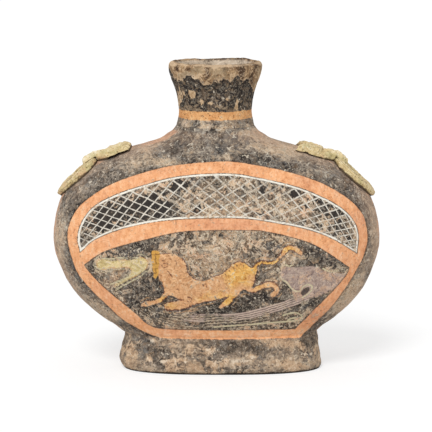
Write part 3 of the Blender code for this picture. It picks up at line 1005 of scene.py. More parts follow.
@dataclass(frozen=True)
class Foot:
    """The oval ring foot, with the smear of clay that lutes it to the body."""

    form: FlaskForm
    camera: PictureCamera
    drawing: PanelDrawing
    seat_place: float = 19.0
    seat_inner_place: float = 19.5
    smear_place: float = 18.86
    smear_depth: float = 0.0003
    squareness: float = 2.55
    flare: float = 0.0045
    base_wall: float = 0.0105
    edge_rounding: float = 0.0024
    gap: float = 0.0003
    columns: int = 460
    rows: int = 96
    flat_rows: tuple[int, int, int] = (5, 20, 6)
    seat_shift: float = 0.0008
    mid_base_share: float = 0.6
    hand_share: float = 1.5
    calm_height: float = 0.002
    chip_size: float = 0.006
    chip_depth: float = 0.0012
    chip_threshold: float = 0.15
    chip_height: float = 0.004
    whole_rows: int = 3
    wall_shares: tuple[Triple, ...] = (
        (0.92, 0.08, 0.0013), (0.80, 0.21, 0.0011), (0.62, 0.48, 0.0000), (0.48, 0.68, -0.0005),
        (0.37, 0.88, -0.0010), (0.25, 1.0, -0.0014), (0.11, 0.94, -0.0004),
    )
    earth_patches: tuple[Patch, ...] = patches(
        (150, 345, 12, 7, -0.45), (138, 336, 8, 5, -0.3), (166, 350, 12, 5, -0.2), (237, 347, 18, 9, -0.62),
        (216, 344, 10, 6, -0.25), (262, 350, 9, 6, -0.35), (285, 353, 12, 5, -0.3),
        (308, 338, 10, 10, -0.5), (215, 357, 8, 4, -0.3), (193, 357, 8, 4, -0.15), (196, 347, 14, 5, 0.2),
        (272, 345, 6, 4, 0.35), (285, 343, 10, 3, 0.2), (252, 357, 6, 5, 0.4), (232, 362, 10, 4, 0.35),
        (180, 361, 22, 3, 0.3), (140, 360, 14, 6, 0.3), (128, 350, 5, 8, 0.2), (290, 364, 22, 5, 0.25),
        (240, 370, 60, 3, -0.15), (205, 369, 50, 3, 0.1), (154, 340, 4, 2.5, 0.5), (270, 362, 14, 4, 0.1),
    )
    # Painted highlights along the ridges of the foot.
    ridge_highlights: tuple[Patch, ...] = patches(
        (163, 361.2, 15, 1.9, 0.42), (130, 354, 8, 1.4, 0.35), (235, 361, 9, 2.2, 0.5),
        (253, 358, 4, 3.0, 0.6), (152, 340, 3, 2, 0.6), (308, 354, 9, 1.5, 0.45), (187, 362, 6, 1.8, 0.4),
        (216, 362, 5, 1.6, 0.35), (246, 361, 4, 2, 0.4),
    )

    def sections(self) -> Points:
        """Return the sections from the smear on the body, round the lower edge and up inside.

        Returns:
            Height, half width, half depth, squareness, growth and shift to the right, one row each.
        """
        places = np.array([self.smear_place, self.seat_place, self.seat_inner_place])
        smear, seat, inner = self.form.sections(places)
        knots = [[*smear[:3], seat[3], -self.smear_depth, 0.0], [*seat, self.smear_depth, self.seat_shift]]
        for up, flare, shift in self.wall_shares:
            square = blend(self.squareness, seat[3], up)
            knots.append([seat[0] * up, seat[1], seat[2], square, self.flare * flare, shift])
        for inset in (self.edge_rounding, self.mid_base_share * self.base_wall, self.base_wall):
            knots.append([0.0, seat[1], seat[2], self.squareness, self.flare - inset, 0.0])
        knots.append([inner[0] - self.gap, *inner[1:], 0.0, 0.0])
        curved = len(knots) - len(self.flat_rows)
        parts = [smooth_curve(knots[:curved], np.linspace(0, curved - 1, self.rows))]
        for start, end, count in zip(knots[curved - 1 :], knots[curved:], self.flat_rows):
            parts.append(np.linspace(start, end, count)[1:])
        return np.concatenate(parts)

    def surface(self) -> Surface:
        """Model the foot with its hand-smoothed wall and chipped lower edge.

        Returns:
            The surface with its painted values.
        """
        sections = self.sections()
        angles = np.linspace(0, 2 * math.pi, self.columns, endpoint=False)
        grid = self.form.plan_grid(sections[:, :4], angles, sections[:, 4])
        grid[..., 0] += sections[:, 5:6]
        marks = self.form.hand_marks(grid) * smooth_step(0.0, self.calm_height, grid[..., 2])
        marks[self.rows :] = 0.0
        grid = grid + wrapped_normals(grid) * self.hand_share * marks[..., None]
        chips = np.clip(rough_noise(grid, self.chip_size, seed=9.0) - self.chip_threshold, 0.0, None)
        near_base = smooth_step(self.chip_height, 0.0, grid[..., 2])
        near_base[self.rows - self.whole_rows :] = 0.0
        grid[..., 2] = np.maximum(grid[..., 2], 0.0) + self.chip_depth * chips * near_base
        points = grid.reshape(-1, 3)
        return Surface(points, grid_quads(len(grid), self.columns, round_rows=True), self.values(points))

    def values(self, points: Points) -> dict[str, Points]:
        """Return the painted values: earth, painted highlights along the ridges and the frame's lower edge.

        Args:
            points: the foot's points, one row each.

        Returns:
            The values by the names that the finish reads.
        """
        spots = self.camera.pixels(self.form.mirrored_to_front(points))
        turned_spots = self.camera.pixels(self.form.turned_to_front(points))
        return {
            "earth": patch_sum(self.earth_patches, *spots.T),
            # The ridge value is the painted highlight along the foot's ridges.
            "ridge": patch_sum(self.ridge_highlights, *spots.T),
            "frame": distance_inside(turned_spots, refined(self.drawing.frame_outline, closed=True)),
        }


@dataclass(frozen=True)
class ShoulderMap:
    """Turns places along and across a shoulder's ridge into points in space."""

    form: FlaskForm
    samples: int = 900

    def points(self, distance: Points, across: Points, lift: Points, bend: Points | float,
               side: Side) -> Points:
        """Return points over a shoulder.

        Args:
            distance: how far down the ridge from the neck seam.
            across: how far to the back of the ridge.
            lift: how far off the ridge, square to it.
            bend: the share of the shoulder's fall to the front and back that a point follows.
            side: the shoulder.

        Returns:
            The points in space.
        """
        places = np.linspace(0.0, len(self.form.shoulder_shares), self.samples)
        sections = self.form.sections(places)
        height, wide = sections[:, 0], sections[:, 1]
        step = np.hypot(np.diff(height), np.diff(wide))
        walked = np.concatenate([[0.0], np.cumsum(step)])
        slope_x = np.gradient(wide, walked)
        slope_z = np.gradient(height, walked)
        read = [np.interp(distance, walked, column) for column in (*sections.T, slope_x, slope_z)]
        level, half_width, half_depth, square, run, fall = read
        reach = np.clip(np.abs(across) / half_depth, 0.0, 1.0)
        surface = half_width * (1.0 - reach**square) ** (1.0 / square)
        x = side.value * (blend(half_width, surface, bend) - fall * lift)
        z = level + run * lift
        return np.stack([x + self.form.lean(z), across * np.ones_like(x), z], axis=-1)


@dataclass(frozen=True)
class MaskAndRing:
    """An animal mask in relief and the clay ring that its snout hooks over."""

    shoulder: ShoulderMap
    side: Side
    setback: float = 0.0476
    plate_length: float = 0.0335
    half_width: float = 0.0215
    plate_thickness: float = 0.0036
    relief: float = 0.0024
    snout_height: float = 0.0098
    hook_length: float = 0.0026
    ring_radius: float = 0.0241
    ring_width: float = 0.0091
    ring_thickness: float = 0.0050
    gap: float = 0.0003
    mask_columns: int = 96
    plate_rows: int = 110
    snout_rows: int = 40
    ring_columns: int = 64
    ring_rows: int = 220
    outline: Outline = (
        (0.0, 0.26), (0.04, 0.46), (0.10, 0.70), (0.18, 0.90), (0.30, 1.0), (0.44, 0.88), (0.58, 0.96),
        (0.74, 0.84), (0.88, 0.56), (1.0, 0.28),
    )
    snout_tip_share: float = 0.20
    snout_bluntness: tuple[float, float] = (9.0, 4.0)
    lumps: tuple[Patch, ...] = patches(
        (0.13, 0.00, 0.12, 0.20, 0.9), (0.17, 0.42, 0.08, 0.18, 0.9), (0.24, 0.76, 0.09, 0.14, 1.0),
        (0.42, 0.30, 0.10, 0.22, 0.6), (0.42, 0.74, 0.10, 0.12, 0.5), (0.56, 0.36, 0.055, 0.20, 1.1),
        (0.68, 0.38, 0.075, 0.10, 0.9), (0.79, 0.60, 0.09, 0.16, 0.8), (0.93, 0.22, 0.07, 0.10, 0.7),
        (0.33, 0.52, 0.05, 0.28, -0.6), (0.50, 0.62, 0.04, 0.20, -0.5), (0.30, 0.12, 0.05, 0.12, -0.6),
        (0.62, 0.20, 0.04, 0.07, -0.7), (0.70, 0.60, 0.05, 0.08, -0.6),
    )
    left_lumps: tuple[Patch, ...] = patches(
        (0.10, 0.0, 0.14, 0.4, -0.4), (0.50, 0.0, 0.22, 0.3, 1.2), (1.05, 0.0, 0.12, 0.3, 0.8),
        (0.29, 0.04, 0.08, 0.35, 1.2), (0.12, 0.66, 0.045, 0.09, -1.8),
    )
    right_lumps: tuple[Patch, ...] = patches(
        (0.38, 0.30, 0.30, 0.9, 0.9), (0.93, 0.30, 0.06, 0.5, -0.7), (0.66, 0.50, 0.05, 0.35, -0.8),
        (0.10, 0.0, 0.12, 0.5, -0.5), (0.80, 0.55, 0.10, 0.30, 0.6),
    )
    lump_shares: tuple[float, float] = (1.0, 0.45)
    bend_share: float = 0.45
    droop_shares: tuple[float, float] = (0.10, 0.62)
    under_droop: float = 1.15
    spread: tuple[float, float] = (0.0, 0.10)
    head_place: float = 0.28
    head_run: float = 0.26
    raggedness: float = 0.10
    ragged_size: float = 0.0045
    ragged_shift: float = 0.05
    seating_depth: float = 0.0006
    crack_height: float = 0.0021
    crack_across: tuple[float, float] = (0.5, 0.95)
    crack_starts: tuple[float, float] = (0.16, 0.24)
    crack_ends: tuple[float, float] = (0.80, 0.70)
    cheek_across: tuple[float, float] = (0.2, 0.9)
    cheek_ends: tuple[float, float] = (1.05, 0.8)
    least_thickness: float = 0.0012
    least_plate: float = 0.0018
    plate_edge: float = 0.45
    plate_edge_power: int = 7
    nose_start: float = 0.5
    snout_tip_height: float = 0.30
    nose_width: float = 0.24
    bump_height: float = 0.0008
    bump_size: float = 0.0055
    grit_height: float = 0.0004
    grit_size: float = 0.0024
    groove_depth: float = 0.0009
    groove_size: float = 0.008
    groove_edges: tuple[float, float] = (0.12, 0.02)
    groove_reach: float = 0.9
    smooth_edge: float = 0.06
    roughness: tuple[float, float] = (0.5, 1.1)
    ring_bend_share: float = 0.60
    ring_squeeze: float = 0.84
    ring_powers: tuple[float, float] = (0.45, 0.38)
    ring_sink: float = 0.0005
    ring_rough_height: float = 0.2
    ring_crown_height: float = 0.75
    ring_low_end: tuple[float, float] = (0.75, 1.0)
    ring_bump_height: float = 0.0007
    ring_bump_size: float = 0.0065
    ring_grit_size: float = 0.0026
    ring_settle: float = 0.0002
    strand_size: float = 0.34
    strand_run: float = 0.22

    def own(self, pair: Sequence[Any]) -> Any:
        """Return what this side has of a left one and a right one."""
        return pair[0 if self.side is Side.LEFT else 1]

    @property
    def tip(self) -> float:
        """Return the distance of the snout's end from the plate's top.

        Returns:
            The distance in metres.
        """
        inner = self.ring_radius - self.ring_width
        half_snout = self.half_width * self.outline[-1][1]
        sag = inner - math.sqrt(inner**2 - half_snout**2)
        return self.plate_length + 2 * self.gap + self.ring_width + sag + self.hook_length

    def mask_half_width(self, distance: Points) -> Points:
        """Return the mask's half width down its length.

        Args:
            distance: how far down from the plate's top.

        Returns:
            The half width at each distance.
        """
        place, share = np.array(self.outline).T
        on_plate = np.interp(distance / self.plate_length, place, share)
        run = np.clip((distance - self.plate_length) / (self.tip - self.plate_length), 0.0, 1.0)
        on_snout = blend(share[-1], self.snout_tip_share, run)
        return self.half_width * np.where(distance <= self.plate_length, on_plate, on_snout)

    def mask_lift(self, distance: Points, across: Points) -> Points:
        """Return the height of the relief over the ridge.

        Args:
            distance: how far down from the plate's top.
            across: shares of the mask's half width.

        Returns:
            The height at each place.
        """
        along = distance / self.plate_length
        place = across * self.mask_half_width(distance) / self.half_width
        swell = self.own(self.lump_shares) * patch_sum(self.lumps, along, np.abs(place))
        swell += patch_sum(self.own((self.left_lumps, self.right_lumps)), along, np.abs(place))
        edge = blend(1.0, self.plate_edge, np.abs(across) ** self.plate_edge_power)
        plate = np.maximum(self.plate_thickness + self.relief * swell, self.least_plate) * edge
        climb = np.clip((along - self.nose_start) / (1.0 - self.nose_start), 0.0, 1.0)
        ridge = np.exp(-((place / self.nose_width) ** 2)) * climb
        fall = np.clip((distance - self.plate_length) / (self.tip - self.plate_length), 0.0, 1.0)
        bow = blend(fall ** self.own(self.snout_bluntness), fall**2, across**2)
        crown = self.snout_height * blend(1.0, self.snout_tip_height, bow)
        return np.maximum(plate, blend(plate, crown, ridge))

    def mask_place(self, distance: Points, share: Points) -> Points:
        """Return how far off the ridge the mask's points lie, with a ragged edge.

        Args:
            distance: how far down from the plate's top.
            share: shares of the mask's half width.

        Returns:
            How far to the back of the ridge each point lies.
        """
        wave = np.stack([distance, np.sign(share) * self.ragged_shift, np.zeros_like(distance)], axis=-1)
        wave = rough_noise(wave, self.ragged_size, seed=12.0 + self.side.value)
        ragged = 1.0 + self.raggedness * wave * (distance < self.plate_length)
        head = np.exp(-(((distance / self.plate_length - self.head_place) / self.head_run) ** 2))
        return share * self.mask_half_width(distance) * ragged * (1.0 + self.own(self.spread) * head)

    def mask_wobble(self, top: Points, share: Points) -> Points:
        """Return how deep the mask's face lies under its smooth form: bumps, grit and grooves.

        Args:
            top: the points of the mask's face.
            share: shares of the mask's half width.

        Returns:
            The depth at each point.
        """
        grooves = smooth_step(*self.groove_edges, np.abs(rough_noise(top, self.groove_size, seed=14.0)))
        grooves = grooves * (share**2 < self.groove_reach)
        wobble = self.bump_height * rough_noise(top, self.bump_size, seed=2.0) - self.groove_depth * grooves
        wobble += self.grit_height * rough_noise(top, self.grit_size, seed=4.0)
        return self.own(self.roughness) * wobble * smooth_step(0.0, self.smooth_edge, 1.0 - np.abs(share))

    def mask_surface(self) -> Surface:
        """Model the mask: its relief, its edge and its underside over the ring.

        Returns:
            The surface with its painted values.
        """
        rows = np.concatenate([
            np.linspace(0.0, self.plate_length, self.plate_rows),
            np.linspace(self.plate_length + 0.0001, self.tip, self.snout_rows),
        ])
        across = np.sin(np.pi / 2 * np.linspace(-1, 1, self.mask_columns))
        distance, share = np.meshgrid(rows, across, indexing="ij")
        along, off_middle = distance / self.plate_length, np.abs(share)
        place = self.mask_place(distance, share)
        over_ring = (distance > self.plate_length) & (distance < self.tip - self.hook_length)
        under = np.where(over_ring, self.ring_thickness + 2 * self.gap, self.gap)
        lift = np.maximum(self.mask_lift(distance, share), under + self.gap)
        crack = smooth_step(*self.crack_across, off_middle) * smooth_step(*self.crack_starts, along)
        crack = crack * smooth_step(*self.crack_ends, along)
        hollow = under - self.seating_depth + self.crack_height * crack
        low_cheek = smooth_step(*self.cheek_across, off_middle) * smooth_step(*self.cheek_ends, along)
        droop = self.own(self.droop_shares) * low_cheek
        far = self.setback + distance
        top = self.shoulder.points(far, place, lift, self.bend_share + droop, self.side)
        low = self.shoulder.points(far, place, hollow, self.bend_share + self.under_droop * droop, self.side)
        normals = grid_normals(top) * self.side.value
        top = top - normals * self.mask_wobble(top, share)[..., None]
        ground = np.maximum(lift, hollow + self.least_thickness) - self.plate_thickness
        ground = np.concatenate([ground.ravel(), np.full(ground.size, -self.plate_thickness)])
        values = {"height": ground * 1000.0, "strand": np.ones(ground.size), "low_end": np.zeros(ground.size)}
        points = np.concatenate([top.reshape(-1, 3), low.reshape(-1, 3)])
        return Surface(points, self.mask_faces(*distance.shape), values)

    def mask_faces(self, count: int, width: int) -> list[list[int]]:
        """Return the faces of the top, the underside and the edge between them.

        Args:
            count: number of rows.
            width: number of points in a row.

        Returns:
            The faces as lists of point numbers.
        """
        size = count * width
        numbers = np.arange(size).reshape(count, width)
        border = np.concatenate([numbers[0], numbers[1:, -1], numbers[-1, -2::-1], numbers[-2:0:-1, 0]])
        after = np.roll(border, -1)
        edge = np.stack([after, border, border + size, after + size], axis=1).tolist()
        return grid_quads(count, width) + grid_quads(count, width, size) + edge

    def ring_surface(self) -> Surface:
        """Model the ring: a flattened strip of clay with uneven strands along it.

        Returns:
            The surface with its painted values.
        """
        turn = np.linspace(0, 2 * np.pi, self.ring_rows, endpoint=False)
        angle = np.linspace(0, 2 * np.pi, self.ring_columns, endpoint=False)
        turns, angles = np.meshgrid(turn, angle, indexing="ij")
        cosine, sine = np.cos(angles), np.sin(angles)
        out_power, up_power = self.ring_powers
        out = np.sign(cosine) * np.abs(cosine) ** out_power
        up = np.where(sine > 0, np.abs(sine) ** up_power, 0.0)
        around = np.stack([cosine, sine, turns * self.strand_run], axis=-1)
        strands = rough_noise(around, self.strand_size, seed=10.0 + self.side.value)
        radius = self.ring_radius - self.ring_width / 2 * (1 - out)
        crown = self.setback + self.plate_length + self.gap
        distance = crown + self.ring_radius - radius * np.cos(turns)
        lift = self.gap + self.ring_thickness * up - self.ring_sink * (1 - up)
        bend = blend(1.0, self.ring_bend_share, up)
        place = self.ring_squeeze * radius * np.sin(turns)
        grid = self.shoulder.points(distance, place, lift, bend, self.side)
        wobble = self.ring_bump_height * rough_noise(grid, self.ring_bump_size, seed=6.0) - self.ring_settle
        wobble += self.grit_height * (rough_noise(grid, self.ring_grit_size, seed=8.0) + strands)
        grid = grid + wrapped_normals(grid) * (wobble * (up > self.ring_rough_height))[..., None]
        values = {
            "height": ((up - self.ring_crown_height) * self.ring_thickness * 1000.0).ravel(),
            "strand": strands.ravel(),
            "low_end": smooth_step(*self.ring_low_end, 1.0 - np.abs(turns / np.pi - 1.0)).ravel(),
        }
        quads = grid_quads(self.ring_rows, self.ring_columns, round_rows=True)
        return Surface(grid.reshape(-1, 3), quads, values)


# Shader sums


Term = Union["Value", float]
Link = Union["Value", float, tuple[float, ...]]
Colour = Triple
Stops = tuple[tuple[float, Colour], ...]


class Value:
    """A shader socket that takes part in sums. Each sum adds its Math node."""

    def __init__(self, sheet: "NodeSheet", socket: Optional[bpy.types.NodeSocket]) -> None:
        """Wrap a socket of a sheet."""
        self.sheet = sheet
        self.socket = socket

    def math(self, operation: str, *others: Term, clamp: bool = False) -> "Value":
        """Return a Math node's result on this value and others."""
        settings = {"operation": operation, "use_clamp": clamp}
        return self.sheet.add("ShaderNodeMath", settings, dict(enumerate((self, *others))))

    def __add__(self, other: Term) -> "Value":
        """Return the sum."""
        return self.math("ADD", other)

    def __mul__(self, other: Term) -> "Value":
        """Return the product."""
        return self.math("MULTIPLY", other)

    __radd__ = __add__
    __rmul__ = __mul__

    def __sub__(self, other: Term) -> "Value":
        """Return the difference."""
        return self.math("SUBTRACT", other)

    def __rsub__(self, other: float) -> "Value":
        """Return the difference from a number."""
        return self.sheet.add("ShaderNodeMath", {"operation": "SUBTRACT"}, {0: other, 1: self})

    def __truediv__(self, other: Term) -> "Value":
        """Return the quotient."""
        return self.math("DIVIDE", other)

    def __neg__(self) -> "Value":
        """Return the value with its sign turned."""
        return self.math("MULTIPLY", -1.0)

    def __abs__(self) -> "Value":
        """Return the size of the value."""
        return self.math("ABSOLUTE")

    def lesser(self, other: Term) -> "Value":
        """Return the smaller of two values."""
        return self.math("MINIMUM", other)

    def greater(self, other: Term) -> "Value":
        """Return the larger of two values."""
        return self.math("MAXIMUM", other)

    def clamped(self) -> "Value":
        """Return the value held between 0 and 1."""
        return self.math("ADD", 0.0, clamp=True)

    def rise(self, low: float, high: float) -> "Value":
        """Return a smooth rise from 0 at low to 1 at high."""
        sockets = {"Value": self, "From Min": low, "From Max": high}
        return self.sheet.add("ShaderNodeMapRange", {"interpolation_type": "SMOOTHSTEP"}, sockets)

    def fall(self, low: float, high: float) -> "Value":
        """Return a smooth fall from 1 at low to 0 at high."""
        return 1.0 - self.rise(low, high)


def pigment(red: float, green: float, blue: float) -> tuple[float, float, float, float]:
    """Return a screen colour, 0 to 255, as linear light.

    Args:
        red: the red share.
        green: the green share.
        blue: the blue share.

    Returns:
        The linear shares, with full cover.
    """
    shares = (channel / 255.0 for channel in (red, green, blue))
    linear = [s / 12.92 if s <= 0.04045 else ((s + 0.055) / 1.055) ** 2.4 for s in shares]
    return (linear[0], linear[1], linear[2], 1.0)


class NodeSheet:
    """The node tree of a finish or of the sky."""

    noise_spread_mm: float = 1700.0
    specular: float = 0.22

    def __init__(self, owner: Union[bpy.types.Material, bpy.types.World]) -> None:
        """Empty the tree of a material or world.

        Args:
            owner: the material or world.
        """
        owner.use_nodes = True
        self.owner = owner
        self.tree = owner.node_tree
        self.tree.nodes.clear()

    @classmethod
    def named(cls, name: str) -> "NodeSheet":
        """Start the sheet of a new material."""
        return cls(bpy.data.materials.new(name))

    @cached_property
    def place(self) -> Value:
        """Return the place on the flask."""
        return self.add("ShaderNodeTexCoord", {}, {}, "Object")

    def add(self, kind: str, settings: Mapping[str, Any], sockets: Mapping[Union[str, int], Link],
            output: Union[str, int] = 0) -> Value:
        """Add one node.

        Args:
            kind: the node's type.
            settings: its settings, set first. The setting stops is a ramp's places and colours.
            sockets: the values or links of its input sockets.
            output: the output socket to return.

        Returns:
            The output as a value, without a socket when the node has no outputs.
        """
        node = self.tree.nodes.new(kind)
        for key, setting in settings.items():
            if key == "stops":
                self.set_stops(node.color_ramp, setting)
            else:
                setattr(node, key, setting)
        for key, link in sockets.items():
            if isinstance(link, Value):
                self.tree.links.new(link.socket, node.inputs[key])
            else:
                node.inputs[key].default_value = link
        return Value(self, node.outputs[output] if len(node.outputs) else None)

    @staticmethod
    def set_stops(ramp: bpy.types.ColorRamp, stops: Stops) -> None:
        """Set a ramp's places and screen colours.

        Args:
            ramp: the ramp of colours.
            stops: the places and their screen colours.
        """
        while len(ramp.elements) < len(stops):
            ramp.elements.new(0.5)
        for element, (position, colour) in zip(ramp.elements, stops):
            element.position = position
            element.color = pigment(*colour)

    def painted(self, name: str) -> Value:
        """Return a value that is painted on the mesh."""
        return self.add("ShaderNodeAttribute", {"attribute_name": name}, {}, "Fac")

    def height_mm(self) -> Value:
        """Return the height over the floor in millimetres."""
        return self.add("ShaderNodeSeparateXYZ", {}, {0: self.place}, "Z") * 1000.0

    def noise(self, size_mm: float, detail: float = 2.0, roughness: float = 0.5, stretch: Triple = (1, 1, 1),
              seed: float = 0.0, distortion: float = 0.0) -> Value:
        """Return noise about zero.

        Args:
            size_mm: the distance from one lump to the next.
            detail: number of finer layers.
            roughness: how strong they are.
            stretch: how many times longer lumps are along X, Y and Z.
            seed: shifts the pattern.
            distortion: how much it swirls.

        Returns:
            The noise.
        """
        terms = {0: self.place, 1: tuple(1.0 / length for length in stretch), 2: (seed, seed, seed)}
        place = self.add("ShaderNodeVectorMath", {"operation": "MULTIPLY_ADD"}, terms)
        sockets = {"Vector": place, "Scale": self.noise_spread_mm / size_mm, "Detail": detail,
                   "Roughness": roughness, "Distortion": distortion}
        return self.add("ShaderNodeTexNoise", {"noise_dimensions": "3D"}, sockets, "Fac") - 0.5

    def line_noise(self, place: Value, detail: float, roughness: float) -> Value:
        """Return noise about zero along one value."""
        sockets = {"W": place, "Scale": 1.0, "Detail": detail, "Roughness": roughness}
        return self.add("ShaderNodeTexNoise", {"noise_dimensions": "1D"}, sockets, "Fac") - 0.5

    def tones(self, level: Value, stops: Stops) -> Value:
        """Return the colours of stops at a level."""
        return self.add("ShaderNodeValToRGB", {"stops": stops}, {0: level}, "Color")

    def mix(self, share: Term, under: Union[Value, Colour], over: Union[Value, Colour]) -> Value:
        """Return the colour a share of the way from under to over. Fixed ones are screen colours."""
        under, over = (pigment(*end) if isinstance(end, tuple) else end for end in (under, over))
        return self.add("ShaderNodeMix", {"data_type": "RGBA"}, {0: share, 6: under, 7: over}, 2)

    def end(self, shader: Value, kind: str = "ShaderNodeOutputMaterial") -> Any:
        """Join a shader to the tree's output and return the material or world."""
        self.add(kind, {}, {"Surface": shader})
        return self.owner


# Finishes


@dataclass(frozen=True)
class Grain:
    """The shared patterns of worn slip and earth on one sheet."""

    sheet: NodeSheet
    patch: Value
    mottle: Value
    crust: Value
    speckle: Value
    dust: Value

    @classmethod
    def on(cls, sheet: NodeSheet) -> "Grain":
        """Lay the patterns on a sheet.

        Args:
            sheet: the finish's sheet.

        Returns:
            The patterns.
        """
        return cls(
            sheet,
            patch=sheet.noise(62.0, 2.0, 0.5, seed=1.0, distortion=0.3),
            mottle=sheet.noise(22.0, 3.0, 0.6, seed=2.0, distortion=0.6),
            crust=sheet.noise(20.0, 4.0, 0.62, seed=5.0, distortion=2.2),
            speckle=sheet.noise(9.5, 2.0, 0.62, seed=3.0, distortion=1.8),
            dust=sheet.noise(4.4, 1.0, 0.6, seed=4.0, distortion=0.8),
        )

    def wear(self, crust: float = 0.0, speckle: float = 0.0, dust: float = 0.0, mottle: float = 0.0) -> Value:
        """Return a sum of patterns, about zero, each with its strength.

        Args:
            crust: the strength of the crust.
            speckle: the strength of the speckle.
            dust: the strength of the dust.
            mottle: the strength of the mottle.

        Returns:
            The sum.
        """
        pairs = ((self.crust, crust), (self.speckle, speckle), (self.dust, dust), (self.mottle, mottle))
        parts = [pattern * strength for pattern, strength in pairs if strength]
        return sum(parts[1:], parts[0])

    @cached_property
    def ragged(self) -> Value:
        """Return how ragged the edges of the painted figures are, in pixels."""
        return self.wear(2.4, 2.4, mottle=1.5)

    @cached_property
    def thin(self) -> Value:
        """Return how thin the paint of the figures is, about zero."""
        return self.wear(0.9, 0.7, 0.4)

    @cached_property
    def figure_tone(self) -> Value:
        """Return the tone of the figures' paint."""
        return 0.52 + self.wear(0.9, 1.32, 0.96)

    @cached_property
    def curls(self) -> Value:
        """Return thin curling lines, 0 to 1."""
        return self.layers(5.0, 2.2, 1.0).fall(0.06, 0.18)

    def layers(self, crust: float, speckle: float, mottle: float) -> Value:
        """Return a height that climbs from 0 to 1 over and over, like flaking layers."""
        return self.wear(crust, speckle, mottle=mottle).math("FRACT")

    def blotches(self, size_mm: float, seed: float, low: float, high: float, swirl: float = 0.0,
                 ragged: float = 0.5) -> Value:
        """Return soft blotches with a speckled edge.

        Args:
            size_mm: the distance from one blotch to the next.
            seed: shifts them.
            low: the noise where they start.
            high: the noise where they are full.
            swirl: how much they swirl.
            ragged: how speckled their edge is.

        Returns:
            The blotches, from 0 to 1.
        """
        base = self.sheet.noise(size_mm, 3.0, 0.6, seed=seed, distortion=swirl)
        return (base + self.speckle * ragged).rise(low, high)

    def scratches(self, seed: float, stretch: Triple) -> Value:
        """Return thin winding scratches, 0 to 1."""
        wind = self.sheet.noise(40.0, 3.0, 0.6, stretch=stretch, seed=seed)
        return abs(wind).fall(0.001, 0.007) * self.sheet.noise(18.0, 1.0, seed=seed + 0.5).rise(0.03, 0.12)

    def flecks(self, seed: float, size_mm: float, low: float, high: float) -> Value:
        """Return scattered small spots, 0 to 1."""
        return self.sheet.noise(size_mm, 1.0, 0.6, seed=seed).rise(low, high)

    def finish(self, colour: Value, roughness: Term, swell: Value, depth_mm: float) -> bpy.types.Material:
        """End the sheet in a matt shader.

        Args:
            colour: the base colour.
            roughness: the roughness.
            swell: the relief under the fine grit, from 0 to 1.
            depth_mm: how deep the relief is.

        Returns:
            The material.
        """
        height = (swell + self.wear(0.0, 0.8, 0.5)).clamped()
        relief = {"Strength": 1.0, "Distance": depth_mm / 1000.0, "Height": height}
        sockets = {"Base Color": colour, "Roughness": roughness, "Metallic": 0.0,
                   "Specular IOR Level": self.sheet.specular,
                   "Normal": self.sheet.add("ShaderNodeBump", {}, relief, "Normal")}
        return self.sheet.end(self.sheet.add("ShaderNodeBsdfPrincipled", {}, sockets, "BSDF"))


